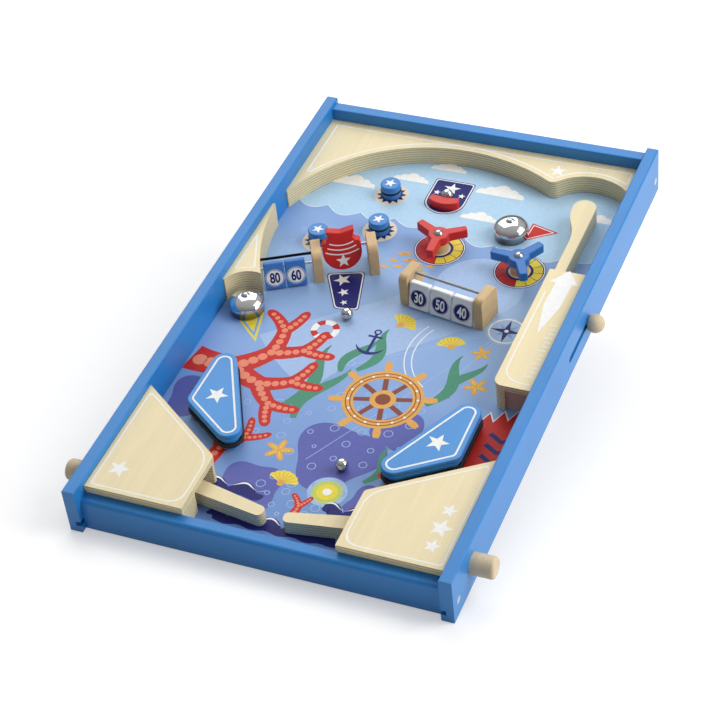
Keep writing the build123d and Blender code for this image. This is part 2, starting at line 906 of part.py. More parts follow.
def gate_posts(gate, width, far, rods):
    """Two posts with round shoulders and blind holes for the rods, given by place, radius and reach."""
    row = Axis((0, 0, 0), along_gate(gate, 0, 0, 0).z_dir)
    with BuildPart() as posts:
        for start in (0, far):
            with BuildSketch(along_gate(gate, start, post_depth / 2, post_height / 2)):
                side = Rectangle(post_depth, post_height)
                fillet(side.vertices().group_by(Axis.Y)[-1], post_round)
            extrude(amount=width)
        sides = posts.faces().filter_by(row)
        fillet(sides.edges() - sides.edges().group_by(upright)[0], post_edge)
        for place, depth, height, radius, reach in rods:
            with Locations(along_gate(gate, place, depth, height)):
                Hole(radius, depth=reach)
    return posts.part


blue_rods = (
    (0, axle_depth, axle_height, axle_radius, axle_seat),
    (0, stop_depth, blue_stop_height, stop_radius, axle_seat),
    (fish_middle, fish_axle_depth, fish_axle_height, fish_axle_radius, fish_bay / 2 + axle_seat),
)
white_rods = (
    (white_middle, axle_depth, axle_height, axle_radius, white_bay / 2 + axle_seat),
    (white_middle, stop_depth, white_stop_height, stop_radius, white_bay / 2 + axle_seat),
)
save(gate_posts(blue_gate, blue_post, blue_post_far, blue_rods), "blue_gate_posts")
save(gate_posts(white_gate, white_post, white_post_far, white_rods), "white_gate_posts")

with BuildPart() as stop_rods:
    with BuildSketch(along_gate(blue_gate, -guide_reach, stop_depth, blue_stop_height)):
        Circle(stop_radius)
    extrude(amount=guide_reach + axle_seat)
    with BuildSketch(along_gate(white_gate, white_post - axle_seat, stop_depth, white_stop_height)):
        Circle(stop_radius)
    extrude(amount=white_bay + 2 * axle_seat)
save(stop_rods.part, "stop_rods")

with BuildPart() as gate_axles:
    with BuildSketch(along_gate(blue_gate, -guide_reach, axle_depth, axle_height)):
        Circle(axle_radius)
    extrude(amount=guide_reach + axle_seat)
    with BuildSketch(along_gate(white_gate, white_post - axle_seat, axle_depth, axle_height)):
        Circle(axle_radius)
    extrude(amount=white_bay + 2 * axle_seat)
    with BuildSketch(along_gate(blue_gate, blue_post - axle_seat, fish_axle_depth, fish_axle_height)):
        Circle(fish_axle_radius)
    extrude(amount=fish_bay + 2 * axle_seat)
save(gate_axles.part, "gate_axles")


def flap(gate, start, width, thickness):
    """One flap, hanging plumb from its axle."""
    middle = along_gate(gate, start + width / 2, axle_depth, axle_height)
    hung = Plane(middle.location * Location((0, 0, 0), (0, 0, -hanging_lean(gate))))
    with BuildPart() as piece:
        with BuildSketch(hung.offset(-width / 2)):
            with Locations((0, (flap_above - flap_below) / 2)):
                Rectangle(thickness, flap_above + flap_below)
        extrude(amount=width)
        fillet(piece.edges(), flap_round)
        with Locations(hung.offset(width / 2)):
            Hole(axle_radius + axle_play, depth=width)
    return piece.part


blue_step = blue_flap_width + blue_flap_gap
white_step = white_flap_width + white_flap_gap
blue_start = -blue_flap_start - blue_flap_width
white_start = white_post + white_flap_gap
save(flap(blue_gate, blue_start - blue_step, blue_flap_width, blue_flap_thickness), "flap_80")
save(flap(blue_gate, blue_start, blue_flap_width, blue_flap_thickness), "flap_60")
save(flap(white_gate, white_start, white_flap_width, white_flap_thickness), "flap_30")
save(flap(white_gate, white_start + white_step, white_flap_width, white_flap_thickness), "flap_50")
save(flap(white_gate, white_start + 2 * white_step, white_flap_width, white_flap_thickness), "flap_40")

# Hanging spinner with a round body and a notched tail, hung plumb from its own axle
fish_axle = along_gate(blue_gate, fish_middle - fish_shift, fish_axle_depth, fish_axle_height)
fish_hung = Plane(fish_axle.location * Location((0, 0, 0), (0, 0, -hanging_lean(blue_gate))))
fish_front = Plane(origin=fish_hung.origin, x_dir=fish_hung.z_dir, z_dir=-fish_hung.x_dir)
with BuildPart() as fish_spinner:
    with BuildSketch(fish_front.offset(-fish_thickness / 2)) as fish_plan:
        with Locations((0, (fish_shoulder - fish_body_drop) / 2)):
            shoulders = Rectangle(2 * fish_body_radius, fish_shoulder + fish_body_drop)
            fillet(shoulders.vertices().group_by(Axis.Y)[-1], fish_shoulder_round)
        with Locations((0, -fish_body_drop)):
            Circle(fish_body_radius)
        Polygon(
            (-fish_waist / 2, 0),
            (fish_waist / 2, 0),
            (fish_waist / 2, fish_shoulder),
            (fish_tail_width / 2, fish_above),
            (0, fish_above - fish_notch),
            (-fish_tail_width / 2, fish_above),
            (-fish_waist / 2, fish_shoulder),
            align=None,
        )
    extrude(amount=fish_thickness)
    fillet(fish_spinner.edges(), fish_round)
    with Locations(fish_hung.offset(fish_bay / 2)):
        Hole(fish_axle_radius + axle_play, depth=fish_bay)
save(fish_spinner.part, "fish_spinner")


# Three-arm spinners on their hubs
spinner_bottom = spinner_hub_height + touch_gap


def spinner(place, turn):
    """One spinner with three tapered arms round a disc."""
    base = on_field(*place, spinner_bottom, turn)
    with BuildPart() as piece:
        with BuildSketch(base) as plan:
            Circle(spinner_disc_radius)
            with PolarLocations(0, spinner_arms):
                Polygon(
                    (0, -spinner_arm_root / 2),
                    (spinner_reach, -spinner_arm_tip / 2),
                    (spinner_reach, spinner_arm_tip / 2),
                    (0, spinner_arm_root / 2),
                    align=None,
                )
            fillet(plan.vertices(), spinner_corner)
        extrude(amount=spinner_thickness)
        fillet(piece.edges().group_by(upright)[-1], spinner_round)
        with Locations(base.offset(spinner_thickness)):
            Hole(dome_shank_radius + running_play, depth=spinner_thickness)
    return piece.part


save(spinner(spinner_places[0], red_spinner_turn), "red_spinner")
save(spinner(spinner_places[1], blue_spinner_turn), "blue_spinner")
save(dome_screws(spinner_places, -panel, spinner_bottom + spinner_thickness + touch_gap), "spinner_screws")

with BuildPart() as spinner_hubs:
    with BuildSketch(field):
        with Locations(*spinner_places):
            Circle(spinner_hub_radius)
            Circle(dome_shank_radius, mode=Mode.SUBTRACT)
    extrude(amount=spinner_hub_height)
save(spinner_hubs.part, "spinner_hubs")

# Bells: thin domed shells, each on a post with a screw through its crown
bell_edge = bell_lift + bell_skirt
bell_rise = bell_height - bell_edge
bell_inside = bell_radius - bell_sheet
post_top = bell_edge + (bell_rise - bell_sheet) * (1 - (bell_post_radius / bell_inside) ** 2) ** 0.5
with BuildPart() as bells:
    for x, y in bell_places:
        section = upright_section(x, y)
        with BuildSketch(section):
            with BuildLine():
                EllipticalCenterArc((0, bell_edge), bell_radius, bell_rise, arc_size=quarter_turn)
                Line((0, bell_height), (0, bell_height - bell_sheet))
                EllipticalCenterArc((0, bell_edge), bell_inside, bell_rise - bell_sheet, arc_size=quarter_turn)
                Polyline(
                    (bell_inside, bell_edge),
                    (bell_inside, bell_lift),
                    (bell_radius, bell_lift),
                    (bell_radius, bell_edge),
                )
            make_face()
        revolve(axis=Axis(section.origin, section.y_dir))
        with Locations(on_field(x, y, bell_height)):
            Hole(dome_shank_radius, depth=bell_rise)
save(bells.part, "bells")

with BuildPart() as bell_posts:
    with BuildSketch(field):
        with Locations(*bell_places):
            Circle(bell_post_radius)
            Circle(dome_shank_radius, mode=Mode.SUBTRACT)
    extrude(amount=post_top)
save(bell_posts.part, "bell_posts")
save(dome_screws(bell_places, 0, bell_height), "bell_screws")

# Peg posts, turned with a groove under the cap for a rubber ring
peg_layers = (
    (0, peg_foot_radius, peg_ring_height - peg_ring_radius),
    (peg_ring_height - peg_ring_radius, peg_neck_radius, 2 * peg_ring_radius),
    (peg_ring_height + peg_ring_radius, peg_cap_radius, peg_height - peg_ring_height - peg_ring_radius),
)
with BuildPart() as pegs:
    for bottom, radius, height in peg_layers:
        with BuildSketch(field.offset(bottom)):
            with Locations(*peg_places):
                Circle(radius)
        extrude(amount=height)
    fillet(pegs.edges().group_by(upright)[-1], peg_cap_round)
save(pegs.part, "pegs")

with BuildPart() as peg_rings:
    for x, y in peg_places:
        with Locations(on_field(x, y, peg_ring_height)):
            Torus(peg_neck_radius + peg_ring_radius, peg_ring_radius)
save(peg_rings.part, "peg_rings")

# Ball cup: a curved block with a hollow back that holds a ball
cup_place = spot(cup_spot)
with BuildPart() as ball_cup:
    with BuildSketch(on_field(*cup_place)):
        half = cup_width / 2
        horn = half - cup_horn_inset
        with BuildLine():
            ThreePointArc((-half, -cup_end), (0, -cup_front), (half, -cup_end))
            Line((half, -cup_end), (horn, cup_horn))
            ThreePointArc((horn, cup_horn), (0, cup_back), (-horn, cup_horn))
            Line((-horn, cup_horn), (-half, -cup_end))
        cup_plan = make_face()
        fillet(cup_plan.vertices(), cup_corner)
    extrude(amount=cup_height)
    fillet(ball_cup.edges().group_by(upright)[-1], cup_round)
save(ball_cup.part, "ball_cup")

# Steel balls, one of them resting in the cup's hollow
cup_ball_place = (cup_place[0], cup_place[1] + cup_back + ball_radius + ball_lift)
ball_places = (*(spot(share) for share in ball_spots), cup_ball_place)
for name, (x, y) in zip(("left_ball", "front_ball", "cup_ball"), ball_places):
    with BuildPart(on_field(x, y, ball_radius + ball_lift)) as ball:
        Sphere(ball_radius)
    save(ball.part, name)
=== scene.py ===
"""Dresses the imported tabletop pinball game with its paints, plywood, prints and bright metal."""

import json
from math import atan2, cos, degrees, pi, radians, sin, tau

import bpy
import numpy as np
from bpy.props import FloatProperty, FloatVectorProperty, PointerProperty
from bpy.types import Operator, Panel, PropertyGroup
from mathutils import Matrix, Vector


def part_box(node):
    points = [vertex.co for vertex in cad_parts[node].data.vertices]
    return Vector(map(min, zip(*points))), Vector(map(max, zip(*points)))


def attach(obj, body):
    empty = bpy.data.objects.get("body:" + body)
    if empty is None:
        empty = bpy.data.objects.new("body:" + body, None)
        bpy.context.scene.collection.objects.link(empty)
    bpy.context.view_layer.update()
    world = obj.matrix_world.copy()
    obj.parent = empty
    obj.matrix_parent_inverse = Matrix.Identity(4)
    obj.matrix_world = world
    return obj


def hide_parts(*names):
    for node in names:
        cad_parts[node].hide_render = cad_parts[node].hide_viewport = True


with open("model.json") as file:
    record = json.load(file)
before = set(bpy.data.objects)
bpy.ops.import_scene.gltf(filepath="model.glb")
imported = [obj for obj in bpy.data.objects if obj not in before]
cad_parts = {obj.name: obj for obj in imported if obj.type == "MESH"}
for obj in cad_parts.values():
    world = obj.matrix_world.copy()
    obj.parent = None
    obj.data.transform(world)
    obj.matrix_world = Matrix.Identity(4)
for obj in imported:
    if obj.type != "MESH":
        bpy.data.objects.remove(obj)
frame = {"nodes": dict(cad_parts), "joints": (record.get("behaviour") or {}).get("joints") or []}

bl_info = {
    "name": "Tabletop Pinball Dresser",
    "version": (1, 0, 0),
    "blender": (4, 5, 0),
    "location": "View3D > Sidebar > Pinball",
    "description": "Finishes, prints and bright metal for a wooden tabletop pinball game",
    "category": "Object",
}

# The playfield's own axes, read from the joints that run along them
JOINTS = {joint["name"]: joint for joint in frame["joints"]}
NODES = frame["nodes"]
MM = 0.001
ACROSS = np.array([1.0, 0.0, 0.0])
UPHILL = np.array(JOINTS["left_ball_roll"]["axis"])
NORMAL = np.array(JOINTS["red_spinner_turn"]["axis"])
SLOPE = atan2(UPHILL[2], UPHILL[1])
WALL_TOP = 36.5
WALL_BELOW = 12.5
WALL_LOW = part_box("left_side_wall")[0]
ORIGIN = np.array([0.0, WALL_LOW.y + WALL_TOP * MM * sin(SLOPE), WALL_BELOW * MM * cos(SLOPE)])
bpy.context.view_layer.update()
HALF_INSIDE = -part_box("left_side_wall")[1].x / MM

# Places on the playfield, in millimetres across and uphill
PEGS = ((-72.4, 507.8), (-62.8, 450.2), (-115.3, 419.2))
BELLS = ((-142.0, 302.5), (66.3, 478.0))
CROWN = (-14.0, 572.8)
ARCH_FOOT = (-166.5, 461.0)
CUSP = (88.0, 543.5)
LANE_CROWN = (127.0, 564.8)
LANE_FOOT = (168.0, 545.0)
INSIDE_BACK = 588.0
SKY_RIGHT = 166.5
SKY_FOOT = 488.0
SLINGS = {
    "left": ((-121.5, 208.6, 12.0), (-123.5, 157.5, 10.5), (-81.5, 129.8, 12.0)),
    "right": ((118.5, 208.6, 12.0), (120.5, 157.5, 10.5), (78.5, 129.8, 12.0)),
}

# Prints are thin slabs that sink a little into the face they lie on. Layers are a step apart,
# and parts of one layer that cross each other a hair of a step.
PRINT_SINK = -0.03
PRINT_LIFT = 0.03
PRINT_STEP = 0.015
HAIR = 0.12

# Grains to the metre across, uphill and out of the playfield
HAIRLINE = (1800, 90, 1800)
MOTTLE = (300, 300, 300)

PLY_PITCH = 0.0029
# Height over the playfield below which bright metal darkens towards its foot as painted shade
PAINTED_SHADE_HEIGHT = 0.012
BETWEEN_GATES = -0.03


def tone(code):
    """Linear colour of a six-digit colour code as a screen shows it."""
    shown = np.array([int(code[i : i + 2], 16) for i in (0, 2, 4)]) / 255
    linear = np.where(shown <= 0.04045, shown / 12.92, ((shown + 0.055) / 1.055) ** 2.4)
    return tuple(float(value) for value in linear)


def colour(name, code, words):
    """A colour that a user can change."""
    return FloatVectorProperty(
        name=name, description=words, subtype="COLOR", min=0, max=1, default=tone(code)
    )


def amount(name, default, words, subtype="NONE"):
    """A number that a user can change."""
    return FloatProperty(name=name, description=words, subtype=subtype, default=default)


def spot(name, default, words):
    """A place in the scene that a user can change."""
    return FloatVectorProperty(
        name=name, description=words, subtype="TRANSLATION", unit="LENGTH", default=default
    )


class BoxFinish(PropertyGroup):
    """Colours of the painted box and the bare wood."""

    paint: colour("Box paint", "2A82CC", "Blue of the four walls")
    veneer: colour("Veneer", "F2E2B6", "Face of the plywood guides and covers")
    layer: colour("Dark layer", "B5A67C", "Darker layers along a plywood edge")
    beech: colour("Beech", "D8B888", "Posts and the launcher's plunger")
    dowel: colour("Dowel", "DCC8A4", "Buttons and the launcher's knob")
    pine: colour("Pine", "D9BC8C", "Stand under the box")
    stain: colour("Stain", "D2B69E", "Block at the launcher's front")


class FieldPrint(PropertyGroup):
    """Colours of the printed playfield."""

    sky: colour("Sky", "B6D8F2", "Upper part of the playfield")
    haze: colour("Haze", "9DBDE6", "Water below the sky")
    sea: colour("Sea", "86A8DC", "Middle water")
    deep: colour("Deep sea", "6C90CC", "Lower water")
    ray: colour("Ray", "A9C4EA", "Beams of light in the water")
    rock: colour("Rock", "6268B2", "Rocks on the sea floor")
    pale: colour("Pale", "F8F8F6", "White ink")
    navy: colour("Navy", "262A72", "Dark blue ink")
    red: colour("Red", "CC2F28", "Red ink")
    blush: colour("Blush", "EE8F72", "Spots on the coral")
    orange: colour("Orange", "E6AC5A", "Wheel and drops")
    brown: colour("Brown", "8C4A3C", "Shades on the wheel")
    yellow: colour("Yellow", "EFDB4C", "Yellow ink")
    beige: colour("Beige", "E6DAC0", "Sunbursts and dials")
    green: colour("Green", "4E9478", "Seaweed")
    lime: colour("Lime", "C6D468", "Halo round the pearl")


class FittingFinish(PropertyGroup):
    """Colours of the painted fittings."""

    sling: colour("Slingshot", "3F8FD6", "Slingshot blocks")
    flap: colour("Blue flap", "3D7DC8", "Flaps of the blue gate")
    tile: colour("White flap", "F1F3F6", "Flaps of the white gate")
    spinner: colour("Blue spinner", "2D74C4", "Blue three-arm spinner")
    peg: colour("Peg", "3A86CF", "Peg posts")
    red: colour("Red paint", "D02018", "Red spinners and the cup")


class StageSettings(PropertyGroup):
    """Camera, light and floor."""

    place: spot("Camera place", (0.6486, -1.62204, 1.07081), "Where the camera stands")
    target: spot("Camera target", (-0.01658, -0.01702, 0.06232), "The point the camera looks at")
    roll: amount("Camera roll", radians(-0.18), "Turn about its line of sight", "ANGLE")
    lens: amount("Lens", 106.58, "Focal length on a 36 mm sensor, in millimetres")
    floor: colour("Floor", "D6D6D6", "Pale studio floor")
    lift: amount("Floor lift", 0.42, "Light that the paper adds where it is seen")
    key: amount("Key light", 30.0, "Power of the lamp on the right, in watts", "POWER")
    fill: amount("Overhead light", 32.0, "Power of the lamp above, in watts", "POWER")
    card: amount("Low light", 12.0, "Power of the low lamp on the right, in watts", "POWER")
    sky: amount("Room light", 0.5, "Strength of the room's light from above")
    horizon: amount("Horizon light", 0.2, "Strength of the room's light from low down")
    front: amount("Front share", 0.6, "Share of that light from the player's end")


def settings(name):
    """One property group of the scene."""
    return getattr(bpy.context.scene, name)


class Graph:
    """A material's node tree, with short ways to add nodes and join them."""

    def __init__(self, name, roughness, **sockets):
        self.material = bpy.data.materials.new(name)
        self.material.use_nodes = True
        self.tree = self.material.node_tree
        self.shader = self.tree.nodes["Principled BSDF"]
        self.shader.inputs["Roughness"].default_value = roughness
        for socket, value in sockets.items():
            self.shader.inputs[socket.replace("_", " ")].default_value = value
        self.object = self.add("ShaderNodeTexCoord").outputs["Object"]

    def add(self, kind, sockets=None, **values):
        """A new node, with its own settings and plain values on its sockets."""
        node = self.tree.nodes.new(kind)
        for key, value in values.items():
            setattr(node, key, value)
        for socket, value in (sockets or {}).items():
            node.inputs[socket].default_value = value
        return node

    def link(self, source, target):
        """Join an output to an input, or set the input to a plain value."""
        if isinstance(source, bpy.types.NodeSocket):
            self.tree.links.new(source, target)
        else:
            target.default_value = source

    def along(self, scale, turn=0.0):
        """Object coordinates turned level with the playfield and stretched."""
        vector = self.object
        for sockets in ({"Rotation": (-SLOPE, 0, 0)}, {"Rotation": (0, 0, turn), "Scale": scale}):
            mapping = self.add("ShaderNodeMapping", sockets)
            self.link(vector, mapping.inputs["Vector"])
            vector = mapping.outputs["Vector"]
        return vector

    def grain(self, scale, turn=0.0, detail=3.0, roughness=0.5, distortion=0.0):
        """A noise value between 0 and 1, with so many grains to the metre along each axis."""
        values = {"Scale": 1.0, "Detail": detail, "Roughness": roughness, "Distortion": distortion}
        node = self.add("ShaderNodeTexNoise", values)
        self.link(self.along(scale, turn), node.inputs["Vector"])
        return node.outputs["Fac"]

    def axis(self, name):
        """One object coordinate, X, Y or Z, level with the playfield."""
        parts = self.add("ShaderNodeSeparateXYZ")
        self.link(self.along((1, 1, 1)), parts.inputs["Vector"])
        return parts.outputs[name]

    def math(self, operation, first, second=0.0, clamp=False):
        """One step of arithmetic."""
        node = self.add("ShaderNodeMath", operation=operation, use_clamp=clamp)
        self.link(first, node.inputs[0])
        self.link(second, node.inputs[1])
        return node.outputs["Value"]

    def weigh(self, first, share, second, other):
        """Sum of two values, each times its share."""
        return self.math("ADD", self.math("MULTIPLY", first, share), self.math("MULTIPLY", second, other))

    def ramp(self, factor, stops):
        """A colour ramp through (place, colour) stops."""
        node = self.add("ShaderNodeValToRGB")
        elements = node.color_ramp.elements
        for index, (place, shade) in enumerate(stops):
            element = elements[index] if index < 2 else elements.new(place)
            element.position = place
            element.color = (*shade, 1)
        self.link(factor, node.inputs["Fac"])
        return node.outputs["Color"]

    def mix(self, factor, first, second, blend="MIX"):
        """Mix of two colours."""
        node = self.add("ShaderNodeMix", data_type="RGBA", blend_type=blend)
        self.link(factor, node.inputs["Factor"])
        for source, socket in ((first, node.inputs["A"]), (second, node.inputs["B"])):
            self.link(source if isinstance(source, bpy.types.NodeSocket) else (*source, 1), socket)
        return node.outputs["Result"]

    def colour(self, source):
        """Give the surface its colour."""
        self.link(source, self.shader.inputs["Base Color"])

    def rough(self, factor, low, high):
        """Vary the roughness between two values."""
        spread = self.add("ShaderNodeMapRange", {"To Min": low, "To Max": high})
        self.link(factor, spread.inputs["Value"])
        self.link(spread.outputs["Result"], self.shader.inputs["Roughness"])

    def bump(self, height, strength, distance):
        """Raise the surface by a height value."""
        node = self.add("ShaderNodeBump", {"Strength": strength, "Distance": distance})
        self.link(height, node.inputs["Height"])
        self.link(node.outputs["Normal"], self.shader.inputs["Normal"])


def shade(base, factor):
    """A colour made darker or paler."""
    return tuple(min(1.0, value * factor) for value in base)


def painted(name, base, turn=0.0):
    """Satin paint over wood: faint grain shows as fine ridges and small shifts of tone."""
    graph = Graph(name, 0.36, Specular_IOR_Level=0.4)
    fibre = graph.grain((420, 16, 420), turn, detail=4.0, roughness=0.6)
    cloud = graph.grain((14, 14, 14), detail=2.0)
    both = graph.weigh(fibre, 0.45, cloud, 0.55)
    graph.colour(graph.ramp(both, [(0.25, shade(base, 0.88)), (0.75, shade(base, 1.1))]))
    graph.rough(fibre, 0.3, 0.42)
    graph.bump(fibre, 0.16, 0.0004)
    return graph.material


def bare_wood(name, base, turn=0.0):
    """Planed wood: stretched fibres, broad figure and small dark pores."""
    graph = Graph(name, 0.55)
    fibre = graph.grain((700, 26, 700), turn, detail=5.0, roughness=0.65)
    figure = graph.grain((60, 5, 60), turn, distortion=0.8)
    pores = graph.grain((2400, 190, 2400), turn, detail=1.0)
    both = graph.weigh(fibre, 0.5, figure, 0.5)
    body = graph.ramp(both, [(0.3, shade(base, 0.8)), (0.7, shade(base, 1.12))])
    speck = graph.math("GREATER_THAN", pores, 0.68)
    graph.colour(graph.mix(graph.math("MULTIPLY", speck, 0.3), body, shade(base, 0.5)))
    graph.rough(fibre, 0.46, 0.62)
    graph.bump(fibre, 0.2, 0.0003)
    return graph.material


def plywood(name, face, layer):
    """Birch plywood: veneer with faint figure on its faces, and glued layers along its edges."""
    graph = Graph(name, 0.5)
    fibre = graph.grain((520, 14, 520), detail=5.0, roughness=0.6)
    figure = graph.grain((34, 4, 34), distortion=1.2)
    both = graph.weigh(fibre, 0.4, figure, 0.6)
    veneer = graph.ramp(both, [(0.3, shade(face, 0.88)), (0.72, shade(face, 1.05))])
    # The edge's layers follow the height over the playfield, with a slight waver.
    waver = graph.math("MULTIPLY", graph.grain((40, 40, 400), detail=2.0), 0.0006)
    level = graph.math("MULTIPLY", graph.math("ADD", graph.axis("Z"), waver), tau / PLY_PITCH)
    wave = graph.math("ADD", graph.math("MULTIPLY", graph.math("SINE", level), 0.5), 0.5)
    banded = graph.weigh(wave, 0.75, graph.grain((900, 900, 240)), 0.35)
    edge = graph.ramp(banded, [(0.18, layer), (0.46, shade(face, 0.96))])
    normal = graph.add("ShaderNodeNewGeometry").outputs["Normal"]
    facing = graph.add("ShaderNodeVectorMath", operation="DOT_PRODUCT")
    facing.inputs[1].default_value = NORMAL
    graph.link(normal, facing.inputs[0])
    flat = graph.math("GREATER_THAN", graph.math("ABSOLUTE", facing.outputs["Value"]), 0.75)
    graph.colour(graph.mix(flat, edge, veneer))
    graph.rough(fibre, 0.42, 0.58)
    graph.bump(fibre, 0.15, 0.0003)
    return graph.material


def bright_metal(name, base, roughness, foot=1.0):
    """Polished or drawn metal with fine hairlines, that may darken towards its foot on the playfield as
    painted shade.
    """
    graph = Graph(name, roughness, Metallic=1.0)
    hair = graph.grain(HAIRLINE, detail=2.0)
    body = graph.ramp(hair, [(0.3, shade(base, 0.94)), (0.7, base)])
    # Painted shade: the colour darkens from this height down to the foot on the playfield
    height = graph.math("SUBTRACT", graph.axis("Z"), float(ORIGIN @ NORMAL))
    share = graph.math("DIVIDE", height, PAINTED_SHADE_HEIGHT, clamp=True)
    painted_shade = graph.ramp(share, [(0.2, (foot,) * 3), (1.0, (1.0,) * 3)])
    graph.colour(graph.mix(1.0, body, painted_shade, "MULTIPLY"))
    graph.rough(hair, max(0.02, roughness - 0.03), roughness + 0.03)
    graph.bump(hair, 0.03, 0.0001)
    return graph.material


def two_rods(name, left, right):
    """Rod steel: blackened for the gate on the left of the game and bright for the other."""
    graph = Graph(name, 0.3, Metallic=0.85)
    hair = graph.grain(HAIRLINE, detail=2.0)
    dark = graph.ramp(hair, [(0.3, shade(left, 0.8)), (0.7, left)])
    bright = graph.ramp(hair, [(0.3, shade(right, 0.9)), (0.7, right)])
    graph.colour(graph.mix(graph.math("GREATER_THAN", graph.axis("X"), BETWEEN_GATES), dark, bright))
    graph.rough(hair, 0.24, 0.36)
    return graph.material


def rubber(name):
    """Matt black rubber with a fine moulded grain."""
    graph = Graph(name, 0.62, Specular_IOR_Level=0.35)
    grain = graph.grain((1500, 1500, 1500), detail=2.0)
    graph.colour(graph.ramp(grain, [(0.3, tone("121214")), (0.7, tone("242428"))]))
    graph.rough(grain, 0.52, 0.72)
    graph.bump(grain, 0.2, 0.0002)
    return graph.material


def ink(name, base):
    """Printed ink under varnish: a faint mottle and a little sheen."""
    graph = Graph(name, 0.45, Specular_IOR_Level=0.15)
    mottle = graph.grain(MOTTLE, detail=4.0, roughness=0.65)
    graph.colour(graph.ramp(mottle, [(0.3, shade(base, 0.93)), (0.7, shade(base, 1.04))]))
    graph.rough(mottle, 0.4, 0.5)
    return graph.material


def sea_print(prints):
    """Printed water: tones run uphill from the deep front to the hazy back, with soft clouding."""
    graph = Graph("sea_print", 0.4, Specular_IOR_Level=0.18)
    uphill = graph.math("SUBTRACT", graph.axis("Y"), float(ORIGIN @ UPHILL))
    share = graph.math("DIVIDE", uphill, INSIDE_BACK * MM)
    cloud = graph.grain((9, 9, 9), roughness=0.55, distortion=0.6)
    drift = graph.math("MULTIPLY", graph.math("SUBTRACT", cloud, 0.5), 0.34)
    tones = (prints.deep, prints.sea, prints.haze, prints.sea, prints.haze)
    water = graph.ramp(graph.math("ADD", share, drift), list(zip((0.03, 0.36, 0.62, 0.8, 1.0), tones)))
    mottle = graph.grain(MOTTLE, detail=4.0, roughness=0.65)
    graph.colour(graph.mix(graph.math("MULTIPLY", mottle, 0.08), water, prints.deep))
    graph.rough(mottle, 0.3, 0.4)
    return graph.material


def print_ink(name):
    """The ink of that name, made when it is first asked for."""
    title = name + "_ink"
    return bpy.data.materials.get(title) or ink(title, getattr(settings("pinball_print"), name))


class Face:
    """A flat face that takes prints: an origin, two directions along it and the way out of it."""

    def __init__(self, origin, right, up):
        self.origin = np.array(origin)
        self.axes = np.array([right, up, np.cross(right, up)])

    def place(self, points):
        """Points given in millimetres along and out of the face, put where they belong."""
        return self.origin + MM * np.asarray(points) @ self.axes


def field_face(height=0.0):
    """The playfield, or a face that stands over it."""
    return Face(ORIGIN + height * MM * NORMAL, ACROSS, UPHILL)


def hung_face(joint, depth, shift=0.0):
    """The front of a piece that hangs plumb from its axle, seen from the player's end."""
    right = np.array(JOINTS[joint]["axis"])
    up = np.array([0.0, 0.0, 1.0]) - right[2] * right
    up /= np.linalg.norm(up)
    middle = np.array(JOINTS[joint]["pos_m"]) + shift * MM * right
    return Face(middle + depth * MM * np.cross(right, up), right, up)


def field_place(joint):
    """Where a joint stands on the playfield, in millimetres across and uphill."""
    offset = (np.array(JOINTS[joint]["pos_m"]) - ORIGIN) / MM
    return np.array([offset @ ACROSS, offset @ UPHILL])


def reach(node):
    """Lowest and highest corner of a CAD node along the playfield's axes, in millimetres."""
    mesh = NODES[node].data
    points = np.empty(3 * len(mesh.vertices))
    mesh.vertices.foreach_get("co", points)
    along = (points.reshape(-1, 3) - ORIGIN) @ np.column_stack([ACROSS, UPHILL, NORMAL]) / MM
    return along.min(axis=0), along.max(axis=0)


def top_face(node):
    """The face on top of a CAD node that lies along the playfield."""
    return field_face(reach(node)[1][2])


def level(layer):
    """Height of a print's top over its face, where later layers lie higher."""
    return PRINT_LIFT + PRINT_STEP * layer


def anticlockwise(outline):
    """The outline, turned round if it runs clockwise."""
    outline = np.asarray(outline, float)
    after = np.roll(outline, -1, axis=0)
    area = np.sum(outline[:, 0] * after[:, 1] - after[:, 0] * outline[:, 1])
    return outline if area > 0 else outline[::-1]


def tube(rings, closed):
    """Quads between rings of points, each joined to the next and the last to the first."""
    grid = np.asarray(rings)
    around, along = grid.shape[:2]
    index = np.arange(around * along).reshape(around, along)
    across = np.roll(index, -1, axis=0)
    if closed:
        quads = np.stack([index, np.roll(index, -1, 1), np.roll(across, -1, 1), across], axis=2)
    else:
        quads = np.stack([index[:, :-1], index[:, 1:], across[:, 1:], across[:, :-1]], axis=2)
    return grid.reshape(-1, 3), quads.reshape(-1, 4).tolist(), index


def raised(line, height):
    """A flat line of points, lifted to a height."""
    return np.column_stack([line, np.full(len(line), height)])


def slab(outline, layer=1):
    """Flat print inside an outline: the outline at two heights, a wall between them and two lids."""
    ring = anticlockwise(outline)
    count = len(ring)
    points = np.vstack([raised(ring, PRINT_SINK), raised(ring, level(layer))])
    low = np.arange(count)
    after = np.roll(low, -1)
    wall = np.column_stack([low, after, after + count, low + count])
    return points, [low[::-1].tolist(), (low + count).tolist(), *wall.tolist()]


def section(first, second, layer):
    """Square section of a flat print between two lines."""
    top = level(layer)
    return [
        raised(first, PRINT_SINK), raised(first, top), raised(second, top), raised(second, PRINT_SINK),
    ]


def hoop(outer, inner, layer=1):
    """Flat print between two outlines with as many points each, as a ring of square section."""
    if anticlockwise(outer) is not outer:
        outer, inner = outer[::-1], inner[::-1]
    return tube(section(outer, inner, layer), True)[:2]


def ribbon(path, width, layer=1):
    """Flat print along a path: its square section spans the width, square to the path."""
    path = np.asarray(path, float)
    way = np.gradient(path, axis=0)
    way /= np.linalg.norm(way, axis=1, keepdims=True)
    half = np.column_stack([-way[:, 1], way[:, 0]]) * np.broadcast_to(width, len(path))[:, None] / 2
    points, faces, index = tube(section(path - half, path + half, layer), False)
    return points, [*faces, index[:, 0].tolist(), index[::-1, -1].tolist()]


def stacked(shade_name, outlines, layer):
    """Slabs of one ink that may cross, each a hair above the one before."""
    return [(shade_name, slab(outline, layer + HAIR * order)) for order, outline in enumerate(outlines)]


